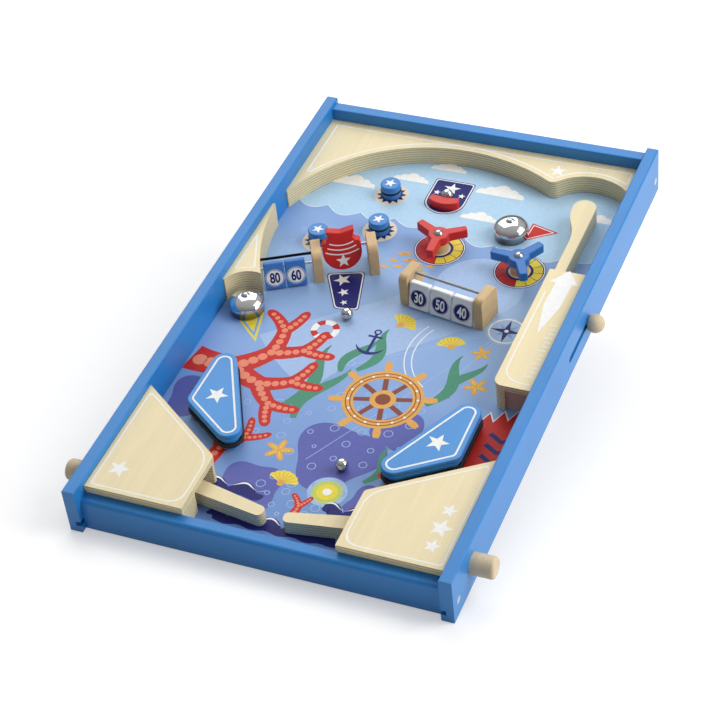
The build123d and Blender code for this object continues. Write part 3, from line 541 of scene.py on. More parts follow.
def polar(centre, radius, angle):
    """Points about a centre, from distances and angles in degrees."""
    turn = np.radians(angle)
    return np.array(centre) + np.reshape(radius, (-1, 1)) * np.column_stack([np.cos(turn), np.sin(turn)])


def arc(centre, radius, start, stop, count=24):
    """Points along an arc between two angles in degrees."""
    return polar(centre, radius, np.linspace(start, stop, count))


def circle(centre, radius, count=56):
    """Outline of a circle."""
    return arc(centre, radius, 0, 360, count + 1)[:-1]


def sector(centre, inner, outer, start, stop):
    """Outline of a piece of a ring."""
    return np.vstack([arc(centre, outer, start, stop), arc(centre, inner, stop, start)])


def star(centre, radius, turn=90.0, tips=5, waist=0.42):
    """Outline of a star: its radius changes between the tips and the waist."""
    order = np.arange(2 * tips)
    return polar(centre, np.where(order % 2, waist, 1.0) * radius, turn + order * 180.0 / tips)


def wavy(centre, radius, lobes, depth, turn=0.0, count=90):
    """Outline whose radius rises and falls with the cosine of the angle times its lobes."""
    angle = np.linspace(0, 360, count, endpoint=False)
    return polar(centre, radius * (1 + depth * np.cos(np.radians(lobes * (angle - turn)))), angle)


def rounded(corners, radius, steps=9):
    """Outline through corners, each eased by a parabola that starts and ends a radius away."""
    corners = np.asarray(corners, float)
    share = np.linspace(0, 1, steps)[:, None]
    parts = []
    for before, corner, after, size in zip(
        np.roll(corners, 1, 0), corners, np.roll(corners, -1, 0), np.broadcast_to(radius, len(corners))
    ):
        first = corner + size * (before - corner) / np.linalg.norm(before - corner)
        last = corner + size * (after - corner) / np.linalg.norm(after - corner)
        parts.append((1 - share) ** 2 * first + 2 * share * (1 - share) * corner + share**2 * last)
    return np.vstack(parts)


def inset(corners, depth):
    """Corners moved inwards so that each side moves by the depth."""
    corners = anticlockwise(corners)
    side = np.roll(corners, -1, 0) - corners
    side /= np.linalg.norm(side, axis=1, keepdims=True)
    inward = np.column_stack([-side[:, 1], side[:, 0]])
    before = np.roll(inward, 1, 0)
    return corners + depth * (inward + before) / (1 + np.sum(inward * before, axis=1))[:, None]


def border(corners, depth, width, radius, layer=1):
    """Line of even width along the inside of an outline's corners."""
    outer, inner = (rounded(inset(corners, deep), radius) for deep in (depth, depth + width))
    return hoop(outer, inner, layer)


def hull(circles, depth=0.0, count=144):
    """Outline round circles made smaller by a depth: in each direction, the farthest point of all."""
    circles = np.asarray(circles, float)
    ways = circle((0, 0), 1, count)
    radii = circles[:, 2] - depth
    farthest = np.argmax(circles[:, :2] @ ways.T + radii[:, None], axis=0)
    return circles[farthest, :2] + radii[farthest, None] * ways


def crown_arc(crown, foot, lift=0.0, count=40):
    """Arc from a level crown down to a foot, moved outwards by a lift."""
    run, drop = crown[0] - foot[0], crown[1] - foot[1]
    radius = (run**2 + drop**2) / (2 * drop)
    centre = (crown[0], crown[1] - radius)
    foot_angle = degrees(atan2(foot[1] - centre[1], foot[0] - centre[0]))
    return arc(centre, radius + lift, 90, foot_angle, count)


def figures(words, height, squeeze, layer):
    """Numerals from the plain built-in typeface, made a mesh, centred and laid flat."""
    curve = bpy.data.curves.new("figures", "FONT")
    curve.body = words
    curve.align_x = "CENTER"
    curve.align_y = "CENTER"
    curve.extrude = 0.1
    curve.offset = 0.03
    holder = bpy.data.objects.new("figures", curve)
    mesh = bpy.data.meshes.new_from_object(holder)
    points = np.empty(3 * len(mesh.vertices))
    mesh.vertices.foreach_get("co", points)
    points = points.reshape(-1, 3)
    low, high = points.min(axis=0), points.max(axis=0)
    scale = height / (high[1] - low[1])
    flat = (points - (low + high) / 2) * (scale * squeeze, scale, 1)
    flat[:, 2] = np.where(points[:, 2] > 0, level(layer), PRINT_SINK)
    faces = [list(face.vertices) for face in mesh.polygons]
    bpy.data.objects.remove(holder)
    bpy.data.curves.remove(curve)
    bpy.data.meshes.remove(mesh)
    return flat, faces


def carried(name, mesh, body):
    """The object of a finished mesh, carried by a body."""
    mesh.update()
    piece = bpy.data.objects.new(name, mesh)
    bpy.context.scene.collection.objects.link(piece)
    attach(piece, body)
    return piece


def printed(name, face, parts, body="game"):
    """One mesh from flat parts, each in its own ink, laid on a face and carried by a body."""
    points, faces, slots, inks = [], [], [], []
    start = 0
    for shade_name, (part, corners) in parts:
        if shade_name not in inks:
            inks.append(shade_name)
        points.append(part)
        faces += [[index + start for index in corner] for corner in corners]
        slots += [inks.index(shade_name)] * len(corners)
        start += len(part)
    mesh = bpy.data.meshes.new(name)
    mesh.from_pydata(face.place(np.vstack(points)).tolist(), [], faces)
    mesh.polygons.foreach_set("material_index", slots)
    for shade_name in inks:
        mesh.materials.append(print_ink(shade_name))
    return carried(name, mesh, body)


def turned(name, profile, face, material, body, count=96):
    """Turned surface: a profile of radii and heights from pole to pole, swung round the face's normal."""
    profile = np.asarray(profile, float)
    rings = profile[1:-1]
    grid = [raised(circle((0, 0), radius, count), height) for radius, height in rings]
    points = np.vstack([(0, 0, profile[0, 1]), *grid, (0, 0, profile[-1, 1])])
    index = 1 + np.arange(len(rings) * count).reshape(-1, count)
    after = np.roll(index, -1, axis=1)
    quads = np.stack([index[:-1], after[:-1], after[1:], index[1:]], axis=2).reshape(-1, 4).tolist()
    last = len(points) - 1
    low_fan = [(0, second, first) for first, second in zip(index[0].tolist(), after[0].tolist())]
    high_fan = [(first, second, last) for first, second in zip(index[-1].tolist(), after[-1].tolist())]
    mesh = bpy.data.meshes.new(name)
    mesh.from_pydata(face.place(points).tolist(), [], [*low_fan, *quads, *high_fan])
    mesh.polygons.foreach_set("use_smooth", [True] * len(mesh.polygons))
    mesh.materials.append(material)
    return carried(name, mesh, body)


def bell_profile():
    """Shell of a bell from its inner pole round the rim to its outer pole, in radii and heights."""
    foot, shoulder, top, sheet = 0.5, 9.2, 19.0, 1.0
    skirt, rim, bead_radius = 16.7, 17.6, 0.7
    dome = arc((0, 0), 1, 90, 0, 22)
    inner = dome * (skirt - sheet, top - shoulder - sheet) + (0, shoulder)
    wall = [(skirt - sheet, foot), (skirt, foot), (skirt, shoulder - bead_radius)]
    bead = arc((rim - bead_radius, shoulder), bead_radius, -90, 0, 8)
    outer = dome[::-1] * (rim, top - shoulder) + (0, shoulder)
    return np.vstack([inner, wall, bead, outer[1:]])


def each(make, places):
    """Parts of a drawing that is made once for every place."""
    return [part for place in places for part in make(*place)]


def stars(places, layer=1):
    """White stars, each from its middle, radius and turn."""
    return [("pale", slab(star(*place), layer)) for place in places]


def coral(root, angle, length, width, forks, order=0):
    """A coral: a bending, narrowing ribbon with a round tip, from which two shorter ones fork."""
    share = np.linspace(0, 1, 26)
    way = angle + np.degrees(0.5 * share)
    path = np.array(root) + np.cumsum(polar((0, 0), length / len(share), way), axis=0)
    tip = np.clip((share - 0.78) / 0.22, 0, 0.995)
    widths = width * (1 - 0.3 * share) * np.sqrt(1 - tip**2)
    parts = [("red", ribbon(path, widths, 4 + HAIR * order))]
    for place, size in zip(path[4:-5:5], widths[4:-5:5]):
        parts.append(("blush", slab(circle(place, size * 0.22, 20), 6)))
    if forks:
        for side, (turn, part) in enumerate(((24, 0.84), (-46, 0.8)), 1):
            fork = path[-7], way[-7] + turn, length * part, width * 0.74
            parts += coral(*fork, forks - 1, 2 * order + side)
    return parts


def seaweed(order, root, height, sway, width):
    """A waving ribbon of seaweed that narrows to its tip."""
    share = np.linspace(0, 1, 40)
    across = root[0] + sway * np.sin(share * 1.6 * pi) + 0.25 * height * share
    path = np.column_stack([across, root[1] + height * share])
    return "green", ribbon(path, width * np.sin(pi * (0.14 + 0.84 * share)), 3 + HAIR * order)


def starfish(centre, radius, turn):
    """A starfish: five round lobes with a row of pale spots down each."""
    parts = [("orange", slab(wavy(centre, radius * 0.68, 5, 0.46, turn), 4))]
    for index in range(5):
        for place in polar(centre, radius * np.array([0.26, 0.46, 0.64]), turn + 72 * index):
            parts.append(("yellow", slab(circle(place, radius * 0.065, 14), 5)))
    return parts


def anchor(centre, size):
    """An anchor: a ring, a shank with a stock, and two curved arms that end in points."""
    x, y = centre
    shank = [(x, y - 0.9 * size), (x, y + 0.7 * size)]
    stock = [(x - 0.42 * size, y + 0.48 * size), (x + 0.42 * size, y + 0.48 * size)]
    arms = arc((x, y), 0.9 * size, 205, 335, 30)
    swell = 0.24 * size * np.sin(np.linspace(0.1, pi - 0.1, 30))
    eye = (x, y + 0.88 * size)
    return [
        ("navy", ribbon(shank, 0.17 * size, 4)),
        ("navy", ribbon(stock, 0.15 * size, 4 + HAIR)),
        ("navy", ribbon(arms, swell, 4 + 2 * HAIR)),
        ("navy", hoop(circle(eye, 0.22 * size, 28), circle(eye, 0.12 * size, 28), 4 + 3 * HAIR)),
    ]


def glow(centre, radius):
    """A pearl in a halo: discs that shrink from pale water to white."""
    shares = {"ray": 1.5, "lime": 1.15, "yellow": 0.8, "pale": 0.34}
    discs = enumerate(shares.items(), 3)
    return [(name, slab(circle(centre, radius * share), layer)) for layer, (name, share) in discs]


def wheel(centre, radius):
    """A ship's wheel: eight handles through a double rim, round a hub."""
    first, handles, studs = 14, 8, 16
    parts = []
    for index in range(handles):
        angle = first + index * 360 / handles
        spoke = polar(centre, radius * np.linspace(0.12, 1.0, 12), angle)
        parts.append(("brown", ribbon(spoke, 5.0, 4 + HAIR * (index % 4))))
        grip = polar(centre, radius * np.linspace(1.0, 1.4, 14), angle)
        swell = 4.0 + 3.6 * np.sin(np.linspace(0.2, pi - 0.3, 14))
        parts.append(("orange", ribbon(grip, swell, 4.5)))
    rims = (
        (1.06, 0.76, "orange", 5), (0.97, 0.94, "brown", 6),
        (0.86, 0.83, "brown", 6), (0.34, 0.2, "orange", 5),
    )
    for outer, inner, name, layer in rims:
        parts.append((name, hoop(circle(centre, radius * outer), circle(centre, radius * inner), layer)))
    parts.append(("brown", slab(circle(centre, radius * 0.2), 5)))
    for stud in polar(centre, 0.9 * radius, first + np.arange(studs) * 360 / studs):
        parts.append(("pale", slab(circle(stud, 1.3, 16), 6)))
    return parts


def shell(centre, radius, turn):
    """A scallop shell: a fan with a scalloped edge, ribs and a hinge."""
    lengths = radius * (1 + 0.07 * np.abs(np.sin(np.linspace(0, 7 * pi, 60))))
    edge = polar(centre, lengths, np.linspace(turn - 72, turn + 72, 60))
    parts = [("yellow", slab(np.vstack([edge, [centre]]), 4))]
    for share in np.linspace(-54, 54, 7):
        rib = polar(centre, radius * np.linspace(0.2, 0.92, 8), turn + share)
        parts.append(("orange", ribbon(rib, 0.9, 5)))
    parts.append(("orange", slab(circle(centre, radius * 0.22, 24), 5)))
    return parts


def lifebuoy(centre, radius):
    """A white ring with four red bands."""
    parts = [("pale", hoop(circle(centre, radius), circle(centre, radius * 0.55), 3))]
    for start in (20, 110, 200, 290):
        parts.append(("red", slab(sector(centre, radius * 0.55, radius, start, start + 38), 4)))
    return parts


def compass(centre, radius):
    """A compass rose: two four-pointed stars in a ring."""
    return [
        ("ray", slab(circle(centre, radius * 1.15), 2)),
        ("pale", hoop(circle(centre, radius * 1.02), circle(centre, radius * 0.94), 3)),
        ("sea", slab(star(centre, radius * 0.72, 45, 4, 0.3), 3)),
        ("navy", slab(star(centre, radius * 0.95, 90, 4, 0.24), 4)),
        ("pale", slab(circle(centre, radius * 0.12, 20), 5)),
    ]


def bubbles(middle, spread, count, size):
    """Rings set out on a sunflower spiral, whose turn is the golden angle."""
    order = np.arange(1, count + 1)
    away = polar((0, 0), np.sqrt(order / count), order * 180 * (3 - 5**0.5))
    radii = size * (0.45 + 0.55 * np.abs(np.sin(2.3 * order)))
    return [
        ("ray", hoop(circle(place, radius, 24), circle(place, radius - 0.7, 24), 3))
        for place, radius in zip(middle + np.array(spread) * away, radii)
    ]


def cloud(place, width):
    """A cloud: a flat-footed row of tall puffs."""
    puffs = ((-0.5, 0.14), (-0.27, 0.22), (0.02, 0.3), (0.3, 0.22), (0.52, 0.13))
    outlines = [
        arc((0, 0), width * size, 0, 180) * (1.0, 1.5) + place + np.array([shift * width, 0])
        for shift, size in puffs
    ]
    return stacked("pale", outlines, 2)


def sky_edge():
    """Lower edge of the sky: a slow wave from wall to wall, hung with even scallops."""
    share = np.linspace(0, 1, 300)
    across = -166 + 332.5 * share
    drift = 471 + 10 * np.cos(tau * 0.7 * share) - 5 * np.sin(tau * 1.6 * share)
    return np.column_stack([across, drift - 10 * np.abs(np.sin(9 * pi * share))])


def sky_outline():
    """Upper part of the playfield: the scalloped edge below and the arches above."""
    lane = np.vstack([crown_arc(LANE_CROWN, LANE_FOOT, -1.0)[::-1], crown_arc(LANE_CROWN, CUSP, -1.0)])
    arch = np.vstack([crown_arc(CROWN, CUSP, -1.0)[::-1], crown_arc(CROWN, ARCH_FOOT, -1.0)])
    lane = lane[(lane[:, 0] < SKY_RIGHT) & (lane[:, 0] > CUSP[0] + 1)]
    arch = arch[(arch[:, 1] > SKY_FOOT) & (arch[:, 0] < CUSP[0] - 1)]
    return np.vstack([sky_edge(), lane, arch])


def dial(centre):
    """Target rings round a spinner: red and yellow fields between navy rings."""
    parts = [
        ("navy", slab(circle(centre, 25.6), 2)),
        ("pale", slab(circle(centre, 24.9), 3)),
        ("navy", slab(circle(centre, 23.9), 4)),
        ("beige", slab(circle(centre, 10.8), 5)),
    ]
    for index in range(12):
        start = 96 + 30 * index
        shade_name = "red" if index < 6 else "yellow"
        parts.append((shade_name, slab(sector(centre, 13.6, 22.8, start + 1, start + 29), 5)))
    return parts


def sunburst(centre):
    """A pale disc with dark points round a peg."""
    return [("beige", slab(circle(centre, 17.5), 3)), ("navy", slab(star(centre, 15.6, 12, 12, 0.68), 4))]


def badge(corners, radius):
    """A navy plate with a white line inside a navy edge."""
    return [
        ("navy", slab(rounded(corners, radius), 3)),
        ("pale", border(corners, 0.9, 1.2, radius, 4)),
    ]


def surf(start, stop, foot, crests, order):
    """A navy wave with a white crest: ribbons along a sine, widest at its crests, that taper out."""
    across = np.linspace(start, stop, 30 * crests)
    swing = np.sin(np.linspace(0, tau * crests, len(across)))
    taper = np.clip(3.0 * np.sin(np.linspace(0.06, pi - 0.06, len(across))), 0.0, 1.0)
    wave = np.column_stack([across, foot + 3.0 * swing])
    crest = wave + (0, 7.0)
    return [
        ("navy", ribbon(wave, taper * (13.0 + 4.0 * swing), 3 + HAIR * order)),
        ("pale", ribbon(crest, taper * (1.0 + 0.9 * swing), 5 + HAIR * order)),
    ]


def finish_nodes(material, *names):
    """Give CAD nodes a finish."""
    for name in names:
        slots = NODES[name].data.materials
        slots.clear()
        slots.append(material)


class PINBALL_OT_box(Operator):
    """Paint the box and finish its screws and stand"""

    bl_idname = "pinball.box"
    bl_label = "Box and Stand"

    def execute(self, context):
        finish = settings("pinball_box")
        finish_nodes(painted("box_paint_long", finish.paint), "left_side_wall", "right_side_wall")
        finish_nodes(painted("box_paint_cross", finish.paint, pi / 2), "front_wall", "back_wall")
        finish_nodes(bright_metal("zinc_screw", tone("C9CACB"), 0.28), "frame_screws")
        finish_nodes(bare_wood("stand_cross", finish.pine, pi / 2), "stand_batten", "button_guides")
        finish_nodes(bare_wood("stand_legs", finish.pine), "rear_legs")
        return {"FINISHED"}


class PINBALL_OT_woodwork(Operator):
    """Finish the plywood guides, covers and flippers and the beech fittings"""

    bl_idname = "pinball.woodwork"
    bl_label = "Plywood and Beech"

    def execute(self, context):
        finish = settings("pinball_box")
        finish_nodes(
            plywood("birch_plywood", finish.veneer, finish.layer),
            "top_guide", "left_guide", "lane_rail", "launch_cover", "launch_spacer",
            "left_flipper_cover", "right_flipper_cover", "left_cover_spacers", "right_cover_spacers",
            "left_flipper", "right_flipper",
        )
        finish_nodes(
            bare_wood("beech", finish.beech),
            "launch_stem", "launch_plunger", "blue_gate_posts", "white_gate_posts", "spinner_hubs",
        )
        dowel = bare_wood("beech_dowel", finish.dowel, pi / 2)
        finish_nodes(dowel, "left_button", "right_button", "launch_knob")
        finish_nodes(bare_wood("stained_block", finish.stain, pi / 2), "launch_end_block")
        return {"FINISHED"}


# Drawings on the playfield, in millimetres and degrees, each row in the order its function takes
CLOUDS = (
    ((-118, 512), 38), ((-62, 534), 30), ((34, 534), 40), ((26, 492), 30), ((142, 520), 28), ((-30, 560), 30),
)
HAZE = ((62, 394), 44)
BEAMS = (((60, 420), 60, 230, 220, 244), ((120, 380), 60, 150, 205, 223))
ROCKS = (
    ((16, 142), 40, 3, 0.16, 20), ((-44, 84), 30, 4, 0.12, 45), ((60, 186), 24, 3, 0.14, 70),
    ((-140, 176), 26, 3, 0.16, 10), ((70, 92), 24, 4, 0.14, 30), ((-96, 72), 22, 3, 0.16, 80),
)
WEEDS = (
    ((-58, 186), 92, 9, 13), ((-40, 176), 76, -8, 12), ((70, 226), 72, 8, 12), ((-8, 252), 62, 7, 11),
    ((86, 240), 54, -7, 10), ((-22, 246), 52, -6, 10), ((52, 118), 46, 6, 9),
)
TWIGS = (((112, 96), 112, 32, 14, 2), ((6, 60), 70, 20, 9, 1))
SHELLS = (((8, 322), 15, 60), ((66, 306), 14, 110), ((-18, 96), 15, 80))
STARFISH = (((-36, 134), 14, 12), ((96, 306), 10, 40), ((106, 262), 12, 60))
BUBBLES = (
    ((0, 190), (92, 70), 40, 4.4), ((-128, 400), (20, 44), 16, 2.6),
    ((0, 84), (50, 24), 16, 4.6), ((60, 380), (70, 40), 26, 2.4),
)
DROPS = [(-38 + 13 * (i % 4) + 5 * (i // 4), 400 + 8 * (i // 4) + 3 * (i % 3)) for i in range(15)]
DROP_SIZE = (4.8, 2.0)
SURF = ((-66, 63, 44, 5, 0), (-82, -26, 77, 2, 1), (30, 80, 77, 2, 2))
ROSE = (108, 342)
CHART_ENDS = ((-96, 296), (-62, 226), (-8, 130), (60, 200), (-40, 400))
WAKES = (((92, 296), 58, 150, 236, 40), ((92, 296), 65, 150, 236, 40))


class PINBALL_OT_playfield(Operator):
    """Print the playfield"""

    bl_idname = "pinball.playfield"
    bl_label = "Printed Playfield"

    def execute(self, context):
        finish_nodes(sea_print(settings("pinball_print")), "playfield")
        drawings = {
            "sky_print": [
                ("sky", slab(sky_outline(), 1)),
                ("pale", ribbon(sky_edge(), 0.6, 2)),
                *each(cloud, CLOUDS),
                ("ray", slab(circle(*HAZE), 1)),
            ],
            "light_print": stacked("ray", [sector(*beam) for beam in BEAMS], 1),
            "rock_print": stacked("rock", [wavy(*rock) for rock in ROCKS], 2),
            "seaweed_print": [seaweed(order, *weed) for order, weed in enumerate(WEEDS)],
            "coral_print": coral((-168, 226), -12, 60, 34, 3),
            "coral_branch_print": coral((-98, 92), 62, 40, 17, 2),
            "coral_twig_print": each(coral, TWIGS),
            "wheel_print": wheel((30, 222), 36),
            "shell_print": each(shell, SHELLS),
            "starfish_print": each(starfish, STARFISH),
            "buoy_print": [
                *lifebuoy((-58, 296), 14), *compass(ROSE, 17), *anchor((-8, 292), 17), *glow((26, 98), 12),
            ],
            "bubble_print": each(bubbles, BUBBLES),
            "drop_print": [
                ("orange", slab(circle((0, 0), 1, 20) * DROP_SIZE + drop, 2.5)) for drop in DROPS
            ],
            "wave_print": each(surf, SURF),
            "chart_print": [
                *(("ray", ribbon([ROSE, end], 0.6, 2.5 + HAIR * i)) for i, end in enumerate(CHART_ENDS)),
                *(("pale", ribbon(arc(*wake), 1.0, 3.5)) for wake in WAKES),
            ],
        }
        for name, parts in drawings.items():
            printed(name, field_face(), parts)
        return {"FINISHED"}


DIALS = ("red_spinner_turn", "blue_spinner_turn")
SHIELD = ((-37, 546), (-37, 500), (-15.7, 489), (5.6, 500), (5.6, 546))
SHIELD_STARS = (((-16, 533), 9), ((-29, 524), 4), ((-2.5, 524), 4))
PLATE = ((-89, 374), (-62, 327), (-38, 331), (-53, 387))
PLATE_STARS = (((-70, 369), 9, 60), ((-62, 352), 6, 60), ((-56, 338), 4, 60))
FLAG = ((79, 472), (110, 494), (81, 502))
PENNANT = ((-146, 287.5), (-116, 262), (-125, 303))
TEETH = [(112 + 6.1 * i, 214 + 2.6 * i + (13 if i % 2 else 0)) for i in range(10)]
ZONE = ((112, 138), (167, 138), *TEETH[::-1])
CHEVRON = ((139, 8), (152, 0), (165, 8))
CHEVRON_ROWS = (172, 186, 200)


class PINBALL_OT_targets(Operator):
    """Print the dials, sunbursts, badges and pennants round the fittings"""

    bl_idname = "pinball.targets"
    bl_label = "Target Prints"

    def execute(self, context):
        drawings = {
            "peg_print": [part for peg in PEGS for part in sunburst(peg)],
            "dial_print": [part for joint in DIALS for part in dial(field_place(joint))],
            "shield_print": [*badge(SHIELD, (3, 12, 10, 12, 3)), *stars(SHIELD_STARS, 4)],
            "plate_print": [*badge(PLATE, (5, 4, 4, 5)), *stars(PLATE_STARS, 4)],
            "flag_print": [("red", slab(FLAG, 3)), ("pale", border(FLAG, 1.6, 1.0, 1.0, 4))],
            "pennant_print": [
                ("yellow", slab(PENNANT, 3)),
                ("sea", slab(inset(PENNANT, 2.2), 4)),
                ("yellow", slab(inset(PENNANT, 4.4), 5)),
            ],
            "hazard_print": [
                ("pale", slab(ZONE, 2)),
                ("red", slab(np.array(ZONE) - (0, 2.4), 3)),
                *(("navy", ribbon(np.array(CHEVRON) + (0, row), 5.0, 4)) for row in CHEVRON_ROWS),
            ],
        }
        for name, parts in drawings.items():
            printed(name, field_face(), parts)
        return {"FINISHED"}


# Lines on the guides, covers and slingshots
GUIDE_LIFT = 6.2
GUIDE_MARGIN = 8.5
SIDE_GUIDE_LINE = ((-163.5, 327), (-144.5, 334), (-163.5, 383))
COVER_FRONT, COVER_INNER, COVER_OUTER = 17.0, 83.5, 151.0
COVER_STARS = {
    "left": (((-147, 45), 11, 80),),
    "right": (((148, 40), 8, 80), ((148, 61), 11, 80), ((148, 82), 8, 80)),
}
ARROW = ((150, 408), (164, 389), (158, 389), (157, 356), (148, 316), (141, 356), (142, 389), (136, 389))
LAUNCH_RIGHT, LAUNCH_FRONT, LAUNCH_BACK, LAUNCH_TURN = 164, 248, 374, 18
TICKS = [(163 - (5 if i % 3 else 8), 258 + 6 * i) for i in range(13)]


class PINBALL_OT_lines(Operator):
    """Print the white lines and stars on the guides, covers and slingshots"""

    bl_idname = "pinball.lines"
    bl_label = "White Lines"

    def execute(self, context):
        feet = ((CROWN, ARCH_FOOT), (CROWN, CUSP), (LANE_CROWN, CUSP), (LANE_CROWN, LANE_FOOT))
        edge = HALF_INSIDE - GUIDE_MARGIN
        back = INSIDE_BACK - GUIDE_MARGIN
        arch = [crown_arc(crown, foot, GUIDE_LIFT) for crown, foot in feet]
        curves = [line[np.abs(line[:, 0]) < edge] for line in arch]
        curves[1] = curves[1][curves[1][:, 0] < CUSP[0]]
        curves[2] = curves[2][curves[2][:, 0] > CUSP[0]]
        lines = [
            *curves,
            [(-edge, curves[0][-1][1]), (-edge, back)],
            [(-edge, back), (edge, back)],
            [(edge, curves[3][-1][1]), (edge, back)],
        ]
        printed("guide_lines", top_face("top_guide"), [
            *(("pale", ribbon(line, 1.4, 1 + HAIR * order)) for order, line in enumerate(lines)),
            *stars([((87, 565), 9, 100)], 2),
        ], "game")
        side_line = [("pale", border(SIDE_GUIDE_LINE, 0.0, 1.2, 1.0))]
        printed("side_guide_lines", top_face("left_guide"), side_line, "game")
        for name, places in COVER_STARS.items():
            low, high = reach(f"{name}_flipper_cover")
            outer, inner, radii = low[0], high[0], (3, 15, 15, 6)
            if name == "right":
                outer, inner, radii = inner, outer, radii[::-1]
            corners = [(outer, COVER_FRONT), (inner, COVER_FRONT), (inner, COVER_INNER), (outer, COVER_OUTER)]
            lines = [("pale", border(corners, 3.8, 1.3, radii)), *stars(places)]
            printed(f"{name}_cover_lines", field_face(high[2]), lines, "game")
        tops = top_face("sling_tops")
        for name, circles in SLINGS.items():
            middle = np.mean(np.array(circles)[:, :2], axis=0)
            lines = [("pale", hoop(hull(circles, 4.2), hull(circles, 6.0))), *stars([(middle, 11, 80)])]
            printed(f"{name}_sling_lines", tops, lines, "game")
        low, high = reach("launch_cover")
        left = low[0] + 6
        bend = arc((left + LAUNCH_TURN, LAUNCH_FRONT + LAUNCH_TURN), LAUNCH_TURN, 180, 270)
        edge_line = np.vstack([(left, LAUNCH_BACK), bend, (LAUNCH_RIGHT, LAUNCH_FRONT)])
        printed("launch_lines", field_face(high[2]), [
            ("pale", slab(ARROW)),
            ("pale", ribbon(edge_line, 1.3)),
            *(("pale", ribbon([(x, y), (LAUNCH_RIGHT, y)], 1.1)) for x, y in TICKS),
        ], "game")
        printed("peg_stars", top_face("pegs"), stars([(peg, 6.4, 80) for peg in PEGS]), "game")
        return {"FINISHED"}


# Scores of a gate, how far its fronts stand from the axle, the middle of its discs,
# the inks of disc and figures, the radii of the line round the disc, and the finish
GATES = (
    (("80", "60"), 3.0, (0, -10), ("pale", "navy"), (8.7, 8.2), "blue_flap"),
    (("30", "50", "40"), 3.5, (0, -9.5), ("navy", "pale"), (8.8, 8.4), "white_flap"),
)
DISC_RADIUS = 9.2
FIGURE_HEIGHT = 11.4
FIGURE_SQUEEZE = 0.66
FLAT_SPINNER_DEPTH = 5.5
FLAT_SPINNER_SHIFT = -2.0


class PINBALL_OT_numbers(Operator):
    """Print the scores on the swinging flaps and bands on the flat spinner"""

    bl_idname = "pinball.numbers"
    bl_label = "Scores"

    def execute(self, context):
        for scores, depth, middle, (disc, mark), (outer, inner), finish in GATES:
            for score in scores:
                digits, faces = figures(score, FIGURE_HEIGHT, FIGURE_SQUEEZE, 2)
                printed(f"score_{score}", hung_face(f"flap_{score}_swing", depth), [
                    (disc, slab(circle(middle, DISC_RADIUS), 1)),
                    (mark, hoop(circle(middle, outer), circle(middle, inner), 2)),
                    (mark, (digits + (*middle, 0), faces)),
                ], f"flap_{score}")
        front = hung_face("fish_turn", FLAT_SPINNER_DEPTH, FLAT_SPINNER_SHIFT)
        printed("flat_spinner_bands", front, [
            *(("pale", ribbon(arc((0, 30), radius, 243, 297), 1.2, 1)) for radius in (26, 31, 36)),
            *stars([((0, -13), 7.5)]),
        ], "fish_spinner")
        return {"FINISHED"}


PAINTED = {
    "sling": ("sling_cores", "sling_tops"),
    "flap": ("flap_80", "flap_60"),
    "tile": ("flap_30", "flap_50", "flap_40"),
    "red": ("fish_spinner", "red_spinner", "ball_cup"),
    "spinner": ("blue_spinner",),
    "peg": ("pegs",),
}


class PINBALL_OT_fittings(Operator):
    """Paint the slingshots, flaps, spinners, pegs and cup"""

    bl_idname = "pinball.fittings"
    bl_label = "Painted Fittings"

    def execute(self, context):
        finish = settings("pinball_fittings")
        for name, nodes in PAINTED.items():
            finish_nodes(painted(f"{name}_paint", getattr(finish, name)), *nodes)
        finish_nodes(rubber("black_rubber"), "sling_bands", "peg_rings")
        return {"FINISHED"}


class PINBALL_OT_metal(Operator):
    """Finish the bells, balls, screws, rods and springs"""

    bl_idname = "pinball.metal"
    bl_label = "Bright Metal"

    def execute(self, context):
        # The chrome's foot factor paints shade on the bells and balls where they meet the playfield
        chrome = bright_metal("chrome", tone("E8E8EA"), 0.07, foot=0.35)
        finish_nodes(chrome, "bells", "left_ball", "front_ball", "cup_ball")
        finish_nodes(
            bright_metal("steel", tone("C4C5C8"), 0.22),
            "spinner_screws", "bell_screws", "bell_posts", "flipper_pins", "launch_guide_rod",
            "left_button_pin", "right_button_pin", "gate_axles",
        )
        finish_nodes(two_rods("rod_steel", tone("1C1C20"), tone("9A9CA0")), "stop_rods")
        for ball in ("left_ball", "front_ball", "cup_ball"):
            low, high = (np.array(corner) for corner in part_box(ball))
            profile = arc((0, 0), (high - low).max() / (2 * MM), -90, 90, 49)
            middle = Face((low + high) / 2, ACROSS, UPHILL)
            piece = turned(f"{ball}_polish", profile, middle, chrome, ball)
            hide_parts(ball)
        for index, (x, y) in enumerate(BELLS):
            foot = Face(ORIGIN + MM * (x * ACROSS + y * UPHILL), ACROSS, UPHILL)
            turned(f"bell_{index + 1}_shell", bell_profile(), foot, chrome, "game")
        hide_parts("bells")
        finish_nodes(
            bright_metal("spring_wire", tone("AEB0B4"), 0.3),
            "launch_spring", "left_button_spring", "right_button_spring",
        )
        return {"FINISHED"}


def paper(name, base, lift):
    """Pale paper that looks white where the camera or a reflection sees it, and keeps its shadow."""
    graph = Graph(name, 0.9)
    fibre = graph.grain((60, 60, 60))
    graph.colour(graph.ramp(fibre, [(0.3, shade(base, 0.98)), (0.7, base)]))
    path = graph.add("ShaderNodeLightPath")
    seen = graph.math("MAXIMUM", path.outputs["Is Camera Ray"], path.outputs["Is Glossy Ray"])
    seen = graph.math("MAXIMUM", seen, path.outputs["Is Transmission Ray"])
    graph.link((1, 1, 1, 1), graph.shader.inputs["Emission Color"])
    graph.link(graph.math("MULTIPLY", seen, lift), graph.shader.inputs["Emission Strength"])
    return graph.material


def aimed(place, target):
    """Where a lamp or camera stands, turned to face a point."""
    sight = Vector(target) - Vector(place)
    return Matrix.Translation(place) @ sight.to_track_quat("-Z", "Y").to_matrix().to_4x4()


